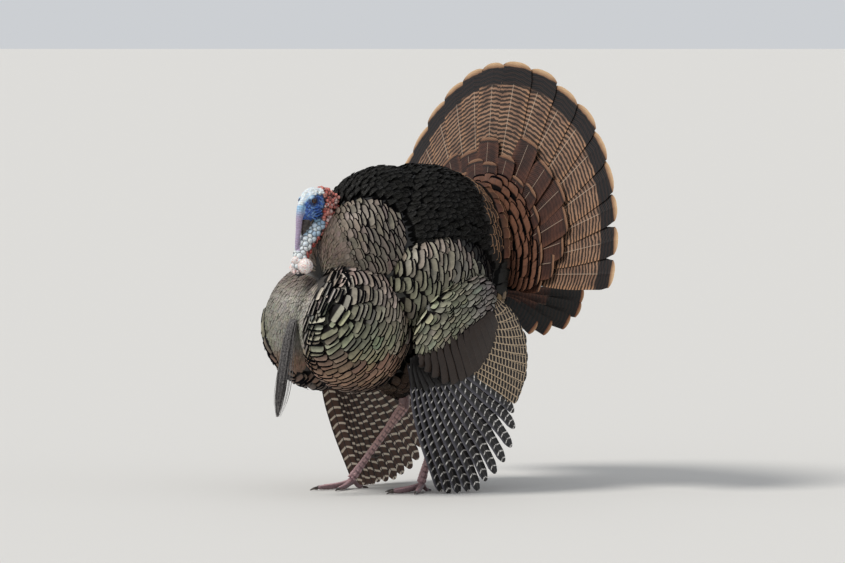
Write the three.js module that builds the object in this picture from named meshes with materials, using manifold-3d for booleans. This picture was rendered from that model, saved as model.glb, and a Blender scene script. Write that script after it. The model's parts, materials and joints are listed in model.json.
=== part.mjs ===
// A wild turkey gobbler in full strut, life size, in millimetres: +X is the bird's left, -Y is forward, +Z is up.
import * as THREE from "three";
import { mergeVertices } from "three/addons/utils/BufferGeometryUtils.js";
import Module from "manifold-3d";

const wasm = await Module();
wasm.setup();

// ---------------------------------------------------------------- driving dimensions
const GAP = 0.9; // clear space between neighbouring hard or bare pieces
const SLACK = 0.35; // how far merging small faces may move their surfaces
const PLUMAGE_GAP = 2.8; // the same two for masses of feathers
const PLUMAGE_SLACK = 1.1;
const SIDES = { left: 1, right: -1 };

const BACK_TOP = 652; // height of the top of the puffed back
const BODY_HALF_WIDTH = 158;
const BREAST_FRONT = -286; // foremost point of the breast lobes
const BELLY = 190; // underside of the belly

const TAIL_ROOT = new THREE.Vector3(0, 212, 423); // where the shafts of the fan converge
const TAIL_RADIUS = 436; // from there to the tip of the middle feathers
const TAIL_SIDE_RADIUS = 387; // and to the tips of the outermost ones
const TAIL_LEAN = THREE.MathUtils.degToRad(7); // the fan leans back from the vertical
const TAIL_FEATHERS = 18;
const TAIL_HALF_SPREAD = THREE.MathUtils.degToRad(92);
const TAIL_DISH = 44; // how far the sides of the fan bend back
const VANE = 2.4; // thickness of a layer of flight feathers

const HEAD = new THREE.Vector3(0, -221, 581);
const SKULL_WIDTH = 43;
const EYE_RADIUS = 6.2;
const BILL_LENGTH = 38;
const BEARD_LENGTH = 182;

const WRIST = new THREE.Vector3(156, -100, 282);
const ELBOW = new THREE.Vector3(150, 70, 408);

const HOCK = { left: new THREE.Vector3(58, 66, 180), right: new THREE.Vector3(-58, 53, 160) };
const ANKLE = { left: new THREE.Vector3(66, 2, 18), right: new THREE.Vector3(-84, -60, 18) };
const MIDDLE_TOE = 78;
const SIDE_TOE = 56;
const HIND_TOE = 26;
const CLAW = 17;
const SPUR = 27;

// ---------------------------------------------------------------- solids from geometry
function solidOf(geometry) {
  const plain = geometry.index ? geometry.toNonIndexed() : geometry.clone();
  plain.deleteAttribute("normal");
  plain.deleteAttribute("uv");
  const merged = mergeVertices(plain, 1e-4);
  const mesh = new wasm.Mesh({
    numProp: 3,
    vertProperties: new Float32Array(merged.attributes.position.array),
    triVerts: new Uint32Array(merged.index.array),
  });
  return new wasm.Manifold(mesh);
}

function geometryOf(solid) {
  const mesh = solid.getMesh();
  const positions = new Float32Array(mesh.numVert * 3);
  for (let i = 0; i < mesh.numVert; i++) {
    positions.set(mesh.vertProperties.subarray(i * mesh.numProp, i * mesh.numProp + 3), i * 3);
  }
  const geometry = new THREE.BufferGeometry();
  geometry.setAttribute("position", new THREE.BufferAttribute(positions, 3));
  geometry.setIndex(new THREE.BufferAttribute(mesh.triVerts, 1));
  return geometry;
}

// The biggest body of a solid that a cut may have split.
function biggest(solid) {
  return solid.decompose().reduce((a, b) => (b.volume() > a.volume() ? b : a));
}

function join(solids) {
  return solids.reduce((a, b) => a.add(b));
}

// An ellipsoid with its radii along x, y and z, tipped about the x axis by pitch degrees and about y by roll.
function ellipsoid(centre, radii, pitch = 0, roll = 0, segments = 12, rings = 9) {
  const geometry = new THREE.SphereGeometry(1, segments, rings);
  const turn = new THREE.Quaternion().setFromEuler(
    new THREE.Euler(THREE.MathUtils.degToRad(pitch), THREE.MathUtils.degToRad(roll), 0),
  );
  geometry.applyMatrix4(new THREE.Matrix4().makeRotationX(Math.PI / 2));
  geometry.applyMatrix4(
    new THREE.Matrix4().compose(new THREE.Vector3(...centre), turn, new THREE.Vector3(...radii)),
  );
  return solidOf(geometry);
}

// A closed skin over rings of points, with a point at each end.
function loft(rings, startPoint, endPoint) {
  const points = [startPoint, ...rings.flat(), endPoint];
  const around = rings[0].length;
  const last = points.length - 1;
  const index = [];
  const at = (ring, k) => 1 + ring * around + (k % around);
  for (let k = 0; k < around; k++) {
    index.push(0, at(0, k + 1), at(0, k));
    for (let ring = 0; ring < rings.length - 1; ring++) {
      index.push(at(ring, k), at(ring, k + 1), at(ring + 1, k + 1));
      index.push(at(ring, k), at(ring + 1, k + 1), at(ring + 1, k));
    }
    index.push(last, at(rings.length - 1, k), at(rings.length - 1, k + 1));
  }
  const geometry = new THREE.BufferGeometry().setFromPoints(points);
  geometry.setIndex(index);
  const solid = solidOf(geometry);
  return solid.volume() < 0 ? solidOf(flipped(geometry)) : solid;
}

function flipped(geometry) {
  const index = geometry.index.array;
  for (let i = 0; i < index.length; i += 3) {
    [index[i + 1], index[i + 2]] = [index[i + 2], index[i + 1]];
  }
  return geometry;
}

// A limb along a smooth path of [x, y, z, radius] stops. flat squeezes it along its own up direction.
function limb(stops, { sides = 12, steps = 12, flat = 1, floor = -Infinity, grow = 0, ends = 0.55 } = {}) {
  const path = new THREE.CatmullRomCurve3(stops.map(([x, y, z]) => new THREE.Vector3(x, y, z)), false, "centripetal");
  const radiusAt = (t) => {
    const place = t * (stops.length - 1);
    const k = Math.min(stops.length - 2, Math.floor(place));
    return THREE.MathUtils.lerp(stops[k][3], stops[k + 1][3], THREE.MathUtils.smoothstep(place - k, 0, 1));
  };
  const side = new THREE.Vector3(1, 0, 0);
  const rings = [];
  for (let i = 0; i <= steps; i++) {
    const t = i / steps;
    const centre = path.getPoint(t);
    const along = path.getTangent(t);
    const across = side.clone().addScaledVector(along, -side.dot(along)).normalize();
    const up = new THREE.Vector3().crossVectors(along, across);
    const radius = radiusAt(t) + grow;
    rings.push(
      Array.from({ length: sides }, (_, k) => {
        const angle = (2 * Math.PI * k) / sides;
        const point = centre.clone();
        point.addScaledVector(across, radius * Math.cos(angle));
        point.addScaledVector(up, radius * flat * Math.sin(angle));
        point.z = Math.max(point.z, floor);
        return point;
      }),
    );
  }
  const start = path.getPoint(0).addScaledVector(path.getTangent(0), -ends * (radiusAt(0) + grow));
  const end = path.getPoint(1).addScaledVector(path.getTangent(1), ends * (radiusAt(1) + grow));
  start.z = Math.max(start.z, floor + 0.2);
  end.z = Math.max(end.z, floor + 0.2);
  return loft(rings, start, end);
}

// A closed plate of even thickness on a surface, where place(a, t) gives its middle and both run from 0 to 1.
function plate(place, across, along, thickness, floor = -Infinity) {
  const step = 1e-3;
  const sheet = (side) => {
    const points = [];
    for (let i = 0; i <= across; i++) {
      for (let j = 0; j <= along; j++) {
        const [a, t] = [i / across, j / along];
        const da = place(Math.min(1, a + step), t).sub(place(Math.max(0, a - step), t));
        const dt = place(a, Math.min(1, t + step)).sub(place(a, Math.max(0, t - step)));
        const normal = da.cross(dt).normalize();
        const point = place(a, t).addScaledVector(normal, (side * thickness) / 2);
        point.z = Math.max(point.z, floor);
        points.push(point);
      }
    }
    return points;
  };
  const points = [...sheet(1), ...sheet(-1)];
  const half = (across + 1) * (along + 1);
  const at = (i, j, side) => (side > 0 ? 0 : half) + i * (along + 1) + j;
  const index = [];
  const quad = (a, b, c, d) => index.push(a, b, c, a, c, d);
  for (let i = 0; i < across; i++) {
    for (let j = 0; j < along; j++) {
      quad(at(i, j, 1), at(i + 1, j, 1), at(i + 1, j + 1, 1), at(i, j + 1, 1));
      quad(at(i, j, -1), at(i, j + 1, -1), at(i + 1, j + 1, -1), at(i + 1, j, -1));
    }
    quad(at(i, 0, 1), at(i, 0, -1), at(i + 1, 0, -1), at(i + 1, 0, 1));
    quad(at(i, along, 1), at(i + 1, along, 1), at(i + 1, along, -1), at(i, along, -1));
  }
  for (let j = 0; j < along; j++) {
    quad(at(0, j, 1), at(0, j + 1, 1), at(0, j + 1, -1), at(0, j, -1));
    quad(at(across, j, 1), at(across, j, -1), at(across, j + 1, -1), at(across, j + 1, 1));
  }
  const geometry = new THREE.BufferGeometry().setFromPoints(points);
  geometry.setIndex(index);
  const solid = solidOf(geometry);
  return solid.volume() < 0 ? solidOf(flipped(geometry)) : solid;
}

// Everything on one side of the body's mid-plane.
function halfSpace(side) {
  const reach = 1000;
  const geometry = new THREE.BoxGeometry(reach, 2 * reach, 2 * reach);
  geometry.translate(side * (reach / 2 + PLUMAGE_GAP / 2), 0, 0);
  return solidOf(geometry);
}

// ---------------------------------------------------------------- body
const coreBody = (grow = 0) =>
  ellipsoid([0, 20, 395], [BODY_HALF_WIDTH - 14 + grow, 232 + grow, 395 - BELLY + grow]);

const backDome = (grow = 0) =>
  ellipsoid([0, 44, 470], [BODY_HALF_WIDTH + grow, 206 + grow, BACK_TOP - 470 + grow]);

const rumpRuff = (grow = 0) =>
  ellipsoid([0, 168, 440], [142 + grow, 88 + grow, 186 + grow], -10);

// The black feathers of the upper back, raised behind the nape.
const mantle = (grow = 0) => ellipsoid([0, -40, 512], [110 + grow, 150 + grow, 140 + grow]);

const trunk = (grow = 0) => join([coreBody(grow), backDome(grow), mantle(grow), rumpRuff(grow)]);

const breastLobe = (side, grow = 0) =>
  ellipsoid([side * 57, BREAST_FRONT + 126, 334], [102 + grow, 126 + grow, 134 + grow], 8);

// The feathered base of the neck, swollen into a cushion on each side of the bare neck.
const capeLobe = (side, grow = 0) =>
  ellipsoid([side * 32, -99, 480], [92 + grow, 122 + grow, 120 + grow]);

const shoulder = (side, grow = 0) =>
  ellipsoid([side * 112, 6, 420], [74 + grow, 132 + grow, 104 + grow], 14, 0);

// ---------------------------------------------------------------- head and neck
const neckStops = [
  [0, -250, 436, 22],
  [0, -253, 462, 18],
  [0, -237, 496, 18],
  [0, -209, 532, 20.5],
  [0, -191, 572, 22],
  [0, -192, 600, 17],
];
const neck = (grow = 0) => limb(neckStops, { sides: 8, steps: 7, grow });

const skull = (grow = 0) =>
  join([
    ellipsoid(HEAD.toArray(), [SKULL_WIDTH / 2 + grow, 27 + grow, 35 + grow], -32, 0, 12, 9),
    ellipsoid([0, -233, 561], [17 + grow, 18 + grow, 24 + grow], -14, 0, 10, 7),
  ]);

const billBase = new THREE.Vector3(0, -239, 552);
const upperBill = (grow = 0) =>
  limb(
    [
      [0, -235, 552, 10],
      [0, -241, 539, 8.5],
      [0, -243, 526, 6.3],
      [0, -240, 553 - BILL_LENGTH, 1.6],
    ],
    { sides: 8, steps: 6, flat: 0.8, grow },
  );
const lowerBill = (grow = 0) =>
  limb(
    [
      [0, -226, 549, 8],
      [0, -231, 536, 6.5],
      [0, -235, 522, 3],
    ],
    { sides: 8, steps: 4, flat: 0.62, grow },
  );

const snood = (grow = 0) =>
  limb(
    [
      [0.5, -248, 576, 8],
      [1, -254, 563, 7.2],
      [1.5, -258, 546, 6],
      [2, -259, 522, 5],
      [2, -261, 496, 3.4],
    ],
    { sides: 8, steps: 7, grow },
  );

const eye = (side, grow = 0) =>
  ellipsoid([side * (SKULL_WIDTH / 2 - 3.4), -229.5, 585], Array(3).fill(EYE_RADIUS + grow), 0, 0, 10, 7);

// The big pale knobs at the foot of the bare neck.
const knobs = {
  caruncle_left: [[17, -260, 455], 14.5],
  caruncle_right: [[-10, -262, 458], 12.5],
  caruncle_middle: [[5, -266, 480], 9],
};
const knob = (name, grow = 0) => {
  const [centre, radius] = knobs[name];
  return ellipsoid(centre, [radius + grow, radius + grow, radius * 1.08 + grow], 0, 0, 9, 6);
};

const beard = (grow = 0) =>
  limb(
    [
      [0, -262, 352, 6],
      [0, -284, 326, 8],
      [0, -300, 290, 9.5],
      [0, -306, 235, 9],
      [0, -308, 352 - BEARD_LENGTH, 2.2],
    ],
    { sides: 8, steps: 9, grow, flat: 0.62 },
  );

// ---------------------------------------------------------------- legs
const thigh = (name, grow = 0) => {
  const side = SIDES[name];
  const hock = HOCK[name];
  return limb(
    [
      [side * 62, hock.y - 26, 300, 56],
      [side * 62, hock.y - 12, 244, 44],
      [side * 60, hock.y - 3, 204, 24],
      [hock.x, hock.y, hock.z + 14, 12],
    ],
    { sides: 8, steps: 5, grow },
  );
};

const shank = (name, grow = 0) => {
  const top = HOCK[name];
  const foot = ANKLE[name];
  const between = (t) => top.clone().lerp(foot, t).toArray();
  return limb(
    [
      [...between(-0.02), 12],
      [...between(0.1), 10.5],
      [...between(0.3), 8.2],
      [...between(0.75), 7.8],
      [...between(0.94), 10],
    ],
    { sides: 8, steps: 6, grow, ends: 0.4 },
  );
};

const spurRoot = (name) => HOCK[name].clone().lerp(ANKLE[name], 0.66);
const spur = (name, grow = 0) => {
  const side = SIDES[name];
  const root = spurRoot(name);
  const stop = (back, inward, down, radius) => [root.x - side * inward, root.y + back, root.z - down, radius];
  return limb([stop(5, 3, 0, 4.6), stop(14, 8, 2, 3.4), stop(5 + SPUR * 0.75, 10, -1, 0.9)], {
    sides: 8,
    steps: 4,
    grow,
    ends: 0.6,
  });
};

// Each toe: which way it points from straight ahead in degrees, its length and its thickness.
const toes = {
  middle: { turn: 0, length: MIDDLE_TOE, radius: 6.2 },
  inner: { turn: 34, length: SIDE_TOE, radius: 5.8 },
  outer: { turn: -36, length: SIDE_TOE, radius: 5.8 },
  hind: { turn: 168, length: HIND_TOE, radius: 4.6 },
};
const toePoint = (name, toe, distance, height) => {
  const side = SIDES[name];
  const { turn } = toes[toe];
  const angle = THREE.MathUtils.degToRad(side * turn + side * -6);
  const ankle = ANKLE[name];
  return [ankle.x - Math.sin(angle) * distance, ankle.y - Math.cos(angle) * distance, height];
};
const toeSolid = (name, toe, grow = 0) => {
  const { length, radius } = toes[toe];
  const start = toe === "hind" ? 13 : 10;
  return limb(
    [
      [...toePoint(name, toe, 2, start), radius + 1.4],
      [...toePoint(name, toe, length * 0.32, radius - 0.3), radius + 0.3],
      [...toePoint(name, toe, length * 0.72, radius - 1.0), radius - 0.5],
      [...toePoint(name, toe, length, radius - 1.9), radius - 1.6],
    ],
    { sides: 6, steps: 4, floor: 0, grow },
  );
};
const foot = (name, grow = 0) =>
  join([
    ...Object.keys(toes).map((toe) => toeSolid(name, toe, grow)),
    ellipsoid(ANKLE[name].clone().setZ(11).toArray(), [12 + grow, 13 + grow, 10 + grow], 0, 0, 8, 6),
  ]);
const claw = (name, toe, grow = 0) => {
  const { length, radius } = toes[toe];
  const size = toe === "hind" ? 0.7 : 1;
  const stop = (share, height, thick) => [...toePoint(name, toe, length + share * CLAW * size, height), thick + grow];
  return limb([stop(0.02, radius - 1.4, radius - 2.2), stop(0.5, radius - 1.8, 2.5), stop(1, 1.4, 0.7)], {
    sides: 6,
    steps: 4,
    floor: 0,
    ends: 0.5,
  });
};

// ---------------------------------------------------------------- wings
const FLIGHT_FEATHERS = { primaries: 10, secondaries: 12 };

// The tips of the drooped wing run along this curve, from the outermost primary back and up to the elbow's feathers.
const tipCurve = new THREE.CatmullRomCurve3(
  [
    [128, -22, -3],
    [142, 28, -3],
    [158, 82, -2],
    [166, 132, 30],
    [164, 172, 84],
    [160, 200, 160],
    [154, 214, 240],
    [146, 212, 320],
    [138, 190, 392],
  ].map((p) => new THREE.Vector3(...p)),
);
const rootCurve = new THREE.CatmullRomCurve3([
  WRIST.clone().add(new THREE.Vector3(-14, -4, -18)),
  WRIST.clone().add(new THREE.Vector3(-6, 14, 10)),
  WRIST.clone().lerp(ELBOW, 0.5).add(new THREE.Vector3(-4, 0, 0)),
  ELBOW.clone(),
]);
const PRIMARY_SHARE = 0.46; // of the tips' curve belongs to the primaries

// A point of a curve, or of its straight continuation where share is below 0 or above 1.
function pointPast(curve, share) {
  const inside = THREE.MathUtils.clamp(share, 0, 1);
  return curve.getPoint(inside).addScaledVector(curve.getTangent(inside), (share - inside) * 400);
}

// A point of the wing's layer of flight feathers: a runs from the outermost primary to the elbow, t from root to tip.
function wingPoint(side, a, t, feathers, notch) {
  const within = (a * feathers) % 1;
  const gap = Math.pow(Math.abs(2 * within - 1), 3);
  const reach = t * (1 - notch * gap);
  const root = pointPast(rootCurve, a);
  const tip = pointPast(tipCurve, a);
  const bow = new THREE.Vector3(9, -10, 12).multiplyScalar(4 * reach * (1 - reach));
  const point = root.lerp(tip, reach).add(bow);
  point.x *= side;
  return point;
}

// The space a drooped wing takes, without the notches between its feathers.
const wingSpace = (side) => plate((a, t) => wingPoint(side, a, 1.04 * t - 0.04, 1, 0), 10, 2, VANE + 14);

// A run of flight feathers, from one share of the wing's length to another. A grown one also reaches past its edges.
const featherRun = (side, from, to, count, notch, across, grow) =>
  plate(
    (a, t) => {
      const past = grow > 0 ? 0.012 : 0;
      const share = THREE.MathUtils.lerp(from - past, to + past, a);
      const reach = THREE.MathUtils.lerp(-2 * past, 1, t);
      return wingPoint(side, share, reach, count / (to - from), notch);
    },
    across,
    2,
    VANE + 2 * grow,
    0,
  );

const primaries = (side, grow = 0) =>
  featherRun(
    side,
    0,
    PRIMARY_SHARE - 0.003,
    FLIGHT_FEATHERS.primaries,
    0.24,
    FLIGHT_FEATHERS.primaries * 3,
    grow,
  );

const secondaries = (side, grow = 0) =>
  featherRun(
    side,
    PRIMARY_SHARE + 0.003,
    1,
    FLIGHT_FEATHERS.secondaries,
    0.07,
    FLIGHT_FEATHERS.secondaries * 2,
    grow,
  );

const wingArm = (side, grow = 0) =>
  ellipsoid([side * 171, 4, 352], [27 + grow, 122 + grow, 74 + grow], 34);

// ---------------------------------------------------------------- tail
const fanUp = new THREE.Vector3(0, Math.sin(TAIL_LEAN), Math.cos(TAIL_LEAN));
const fanSide = new THREE.Vector3(1, 0, 0);
const fanFront = new THREE.Vector3().crossVectors(fanSide, fanUp);

// A point of the fan: a runs from the right edge to the left one, reach is the distance from the shafts' meeting point.
function fanPoint(a, reach, setForward = 0) {
  const angle = THREE.MathUtils.lerp(-TAIL_HALF_SPREAD, TAIL_HALF_SPREAD, a);
  const bend = TAIL_DISH * Math.pow(reach / TAIL_RADIUS, 2) * Math.sin(1.5 * Math.abs(angle));
  return TAIL_ROOT.clone()
    .addScaledVector(fanUp, reach * Math.cos(angle))
    .addScaledVector(fanSide, reach * Math.sin(angle))
    .addScaledVector(fanFront, setForward - bend);
}

function fanReach(a, feathers, roundness) {
  const within = (a * feathers) % 1;
  const scallop = roundness * Math.pow(Math.abs(2 * within - 1), 2.4);
  const upright = Math.cos(TAIL_HALF_SPREAD * (2 * a - 1));
  return THREE.MathUtils.lerp(TAIL_SIDE_RADIUS, TAIL_RADIUS, upright * upright) * (1 - scallop);
}

const fan = (from, to, grow = 0) =>
  plate(
    (a, t) => {
      const whole = THREE.MathUtils.lerp(from, to, a);
      return fanPoint(whole, THREE.MathUtils.lerp(46, fanReach(whole, TAIL_FEATHERS, 0.045), t));
    },
    Math.round(TAIL_FEATHERS * (to - from)) * 4,
    2,
    VANE + 2 * grow,
  );

const tailCoverts = (grow = 0) =>
  plate(
    (a, t) => {
      const reach = THREE.MathUtils.lerp(60, fanReach(a, 14, 0.03) * 0.56, t);
      return fanPoint(a, reach, THREE.MathUtils.lerp(26, 8, t));
    },
    14 * 2,
    2,
    VANE + 1.4 + 2 * grow,
  );

// Everything from just in front of the fan to far behind it.
function behindFan(clear) {
  const geometry = new THREE.BoxGeometry(1600, 600, 1600);
  geometry.translate(0, 300 - clear, 0);
  geometry.rotateX(-TAIL_LEAN);
  geometry.translate(...TAIL_ROOT.toArray());
  return solidOf(geometry);
}

const RUMP_CUT = 36; // the feathered rump ends this far in front of the fan
const tailBase = (grow = 0) =>
  ellipsoid(TAIL_ROOT.toArray(), [42 + grow, 40 + grow, 42 + grow]).intersect(behindFan(RUMP_CUT - GAP));

const undertail = (grow = 0) =>
  limb(
    [
      [0, 200, 380, 62],
      [0, 270, 366, 90],
      [0, 350, 354, 104],
      [0, 412, 344, 74],
    ],
    { sides: 12, steps: 5, flat: 0.4, grow, ends: 0.4 },
  ).intersect(behindFan(RUMP_CUT - GAP));

// ---------------------------------------------------------------- colours
function finish(colour, roughness, metalness = 0) {
  return new THREE.MeshStandardMaterial({ color: colour, roughness, metalness });
}
const finishes = {
  back: finish("#17181b", 0.55),
  bronze: finish("#6d675a", 0.4, 0.2),
  barred: finish("#4a463f", 0.6),
  chestnut: finish("#6e4330", 0.6),
  dark: finish("#1c1a19", 0.6),
  blue: finish("#3f6fb8", 0.55),
  red: finish("#b5564c", 0.55),
  pale: finish("#e6ddda", 0.5),
  eye: finish("#1d120c", 0.1),
  horn: finish("#5d5148", 0.4),
  leg: finish("#8d5f62", 0.5),
  beard: finish("#26262a", 0.6),
};

// ---------------------------------------------------------------- pieces, each cut back by those it is laid on
const group = new THREE.Group();
group.name = "wild_turkey";

function place(name, material, solid, cutters = [], slack = SLACK, lastCutters = []) {
  const cut = cutters.reduce((left, cutter) => left.subtract(cutter), solid);
  const plain = biggest(cut).simplify(slack);
  const clear = lastCutters.reduce((left, cutter) => left.subtract(cutter), plain);
  const mesh = new THREE.Mesh(geometryOf(biggest(clear)), finishes[material]);
  mesh.name = name;
  group.add(mesh);
}

const everySide = (make) => Object.entries(SIDES).map(([name, side]) => make(side, name));

place(
  "trunk",
  "back",
  trunk(),
  [
    ...everySide((side) => capeLobe(side, PLUMAGE_GAP)),
    ...everySide((side) => breastLobe(side, PLUMAGE_GAP)),
    ...everySide((side) => shoulder(side, PLUMAGE_GAP)),
    ...everySide((side) => wingArm(side, PLUMAGE_GAP)),
    ...everySide((side, name) => thigh(name, PLUMAGE_GAP)),
    ...everySide((side) => wingSpace(side)),
    neck(PLUMAGE_GAP),
    behindFan(RUMP_CUT),
  ],
  PLUMAGE_SLACK,
);

for (const [name, side] of Object.entries(SIDES)) {
  const ownHalf = halfSpace(side);
  const knobCutters = ["caruncle_left", "caruncle_right"].map((which) => knob(which, PLUMAGE_GAP));
  place(
    "breast_" + name,
    "bronze",
    breastLobe(side).intersect(ownHalf),
    [shoulder(side, PLUMAGE_GAP), neck(PLUMAGE_GAP), beard(PLUMAGE_GAP), wingSpace(side), ...knobCutters],
    PLUMAGE_SLACK,
  );
  place(
    "neck_cushion_" + name,
    "bronze",
    capeLobe(side).intersect(ownHalf),
    [
      shoulder(side, PLUMAGE_GAP),
      breastLobe(side, PLUMAGE_GAP),
      neck(PLUMAGE_GAP),
      skull(PLUMAGE_GAP),
      ...knobCutters,
    ],
    PLUMAGE_SLACK,
  );
  place(
    "shoulder_" + name,
    "bronze",
    shoulder(side),
    [wingSpace(side), wingArm(side, PLUMAGE_GAP)],
    PLUMAGE_SLACK,
    [secondaries(side, 2 * GAP)],
  );
  place(
    "wing_" + name,
    "bronze",
    wingArm(side),
    [wingSpace(side)],
    PLUMAGE_SLACK,
    [primaries(side, GAP), secondaries(side, GAP)],
  );
  place("primaries_" + name, "barred", primaries(side), [], 0.1 * SLACK);
  place("secondaries_" + name, "barred", secondaries(side), [], 0.1 * SLACK);
  place("thigh_" + name, "dark", thigh(name), [shank(name, GAP), wingSpace(side)]);
  place("shank_" + name, "leg", shank(name), [foot(name, GAP), spur(name, GAP)]);
  place("spur_" + name, "horn", spur(name));
  place("foot_" + name, "leg", foot(name), Object.keys(toes).map((toe) => claw(name, toe, GAP)));
  for (const toe of Object.keys(toes)) {
    place(`claw_${toe}_${name}`, "horn", claw(name, toe));
  }
}

place("neck", "red", neck(), [
  skull(GAP),
  upperBill(GAP),
  lowerBill(GAP),
  snood(GAP),
  beard(GAP),
  ...Object.keys(knobs).map((name) => knob(name, GAP)),
]);
place("head", "blue", skull(), [upperBill(GAP), lowerBill(GAP), eye(1, GAP), eye(-1, GAP), snood(GAP)]);
place("bill_upper", "horn", upperBill(), [snood(GAP), lowerBill(GAP)]);
place("bill_lower", "horn", lowerBill(), [neck(GAP)]);
place("snood", "pale", snood());
place("eye_left", "eye", eye(1));
place("eye_right", "eye", eye(-1));
place("caruncle_left", "pale", knob("caruncle_left"));
place("caruncle_right", "pale", knob("caruncle_right"), [knob("caruncle_left", GAP)]);
place("caruncle_middle", "pale", knob("caruncle_middle"), [
  knob("caruncle_left", GAP),
  knob("caruncle_right", GAP),
]);
place("beard", "beard", beard());

const THIRD = 1 / 3;
place("tail_right", "chestnut", fan(0, THIRD - 0.001));
place("tail_middle", "chestnut", fan(THIRD, 2 * THIRD - 0.001));
place("tail_left", "chestnut", fan(2 * THIRD, 1));
place("tail_coverts", "chestnut", tailCoverts());
place("tail_base", "dark", tailBase());
place("undertail_coverts", "dark", undertail(), [tailBase(GAP), fan(0, 1, 3)]);

// The origin is on the floor, under the middle of the bird's box.
const box = new THREE.Box3().setFromObject(group);
group.position.set(-(box.min.x + box.max.x) / 2, -(box.min.y + box.max.y) / 2, -box.min.z);

export default group;
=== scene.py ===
# %% [markdown]
# # A wild turkey gobbler in strut
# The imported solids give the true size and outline. This lesson lays a living surface over them: one skin, rows of
# feathers that follow the lie of the plumage, the long flight feathers of wings and tail, and the bare warty head.
# Everything is modelled in millimetres in the bird's own axes, -Y forward and +X its left side, and is moved to the
# frame's origin when a piece is made.

# %% Open the frame
import json
import math

import bpy
import numpy as np
from mathutils import Matrix, Vector

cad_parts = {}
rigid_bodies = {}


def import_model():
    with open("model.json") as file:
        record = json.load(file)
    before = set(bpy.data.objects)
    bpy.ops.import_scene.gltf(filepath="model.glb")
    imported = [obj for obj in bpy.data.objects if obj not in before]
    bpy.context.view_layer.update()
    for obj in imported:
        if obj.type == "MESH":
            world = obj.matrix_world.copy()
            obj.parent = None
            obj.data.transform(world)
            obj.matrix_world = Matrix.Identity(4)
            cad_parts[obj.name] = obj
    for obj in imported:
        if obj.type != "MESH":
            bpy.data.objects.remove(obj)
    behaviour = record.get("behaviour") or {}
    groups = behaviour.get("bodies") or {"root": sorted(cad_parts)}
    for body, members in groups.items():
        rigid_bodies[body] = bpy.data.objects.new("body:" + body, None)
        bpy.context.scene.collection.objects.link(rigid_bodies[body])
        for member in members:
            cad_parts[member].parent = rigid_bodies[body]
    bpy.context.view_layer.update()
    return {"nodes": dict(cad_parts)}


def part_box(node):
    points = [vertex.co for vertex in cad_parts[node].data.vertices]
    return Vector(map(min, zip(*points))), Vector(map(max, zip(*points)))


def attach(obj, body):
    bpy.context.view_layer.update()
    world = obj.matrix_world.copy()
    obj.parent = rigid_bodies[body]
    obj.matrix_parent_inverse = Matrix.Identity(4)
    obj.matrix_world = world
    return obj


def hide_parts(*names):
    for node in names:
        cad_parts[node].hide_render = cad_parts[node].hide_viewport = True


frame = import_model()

SIDES = {"left": 1, "right": -1}
EYE = np.array([18.1, -229.5, 585.0])  # the left eye's middle in the bird's axes
EYE_RADIUS = 6.2
eye_low, eye_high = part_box("eye_left")
ORIGIN = np.array((eye_low + eye_high) / 2) * 1000 - EYE
chance = np.random.default_rng(7)
print("nodes", len(frame["nodes"]), "shift in mm", ORIGIN.round(1))

# %% [markdown]
# ## Small tools
# A piece is made from points and faces in millimetres. Each surface carries two attributes that its material reads:
# `tone`, its own colour, and `vane`, where a point lies on its feather.


# %% Tools for making pieces
def world(points):
    return (np.asarray(points, float) + ORIGIN) * 0.001


def linear(red, green, blue):
    """A colour as it is seen on a screen, turned into light."""
    c = np.array([red, green, blue]) / 255
    return np.where(c <= 0.04045, c / 12.92, ((c + 0.055) / 1.055) ** 2.4)


def ease(low, high, x):
    t = np.clip((np.asarray(x, float) - low) / (high - low), 0, 1)
    return t * t * (3 - 2 * t)


def mix(a, b, share):
    share = np.asarray(share, float)[..., None]
    return a * (1 - share) + b * share


def make_piece(name, points, faces, tone=None, vane=None, uv=None, rim=None):
    """A mesh object from arrays: faces all with the same number of corners, attributes on the points.

    Edges between two points of the rim are sharp, so that a thin vane looks flat up to its edge.
    """
    mesh = bpy.data.meshes.new(name)
    points, faces = np.asarray(points, float), np.asarray(faces, int)
    sides = faces.shape[1]
    mesh.vertices.add(len(points))
    mesh.vertices.foreach_set("co", world(points).ravel())
    mesh.loops.add(faces.size)
    mesh.loops.foreach_set("vertex_index", faces.ravel())
    mesh.polygons.add(len(faces))
    mesh.polygons.foreach_set("loop_start", np.arange(0, faces.size, sides))
    mesh.polygons.foreach_set("use_smooth", np.ones(len(faces), bool))
    mesh.update(calc_edges=True)
    if tone is not None:
        rgba = np.concatenate([tone, np.ones((len(tone), 1))], 1)
        mesh.attributes.new("tone", "FLOAT_COLOR", "POINT").data.foreach_set("color", rgba.ravel())
    if vane is not None:
        mesh.attributes.new("vane", "FLOAT_VECTOR", "POINT").data.foreach_set("vector", np.ravel(vane))
    if uv is not None:
        mesh.uv_layers.new(name="OFBake").data.foreach_set("uv", np.asarray(uv)[faces.ravel()].ravel())
    if rim is not None:
        ends = np.empty(2 * len(mesh.edges), int)
        mesh.edges.foreach_get("vertices", ends)
        sharp = rim[ends.reshape(-1, 2)].all(1)
        mesh.attributes.new("sharp_edge", "BOOLEAN", "EDGE").data.foreach_set("value", sharp)
    piece = bpy.data.objects.new(name, mesh)
    bpy.context.collection.objects.link(piece)
    return piece


def finish_piece(piece, material, replaced=()):
    piece.data.materials.clear()
    piece.data.materials.append(material)
    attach(piece, "root")
    if replaced:
        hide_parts(*replaced)
    triangles = sum(len(p.vertices) - 2 for p in piece.data.polygons)
    print(piece.name, "triangles", triangles)


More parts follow.
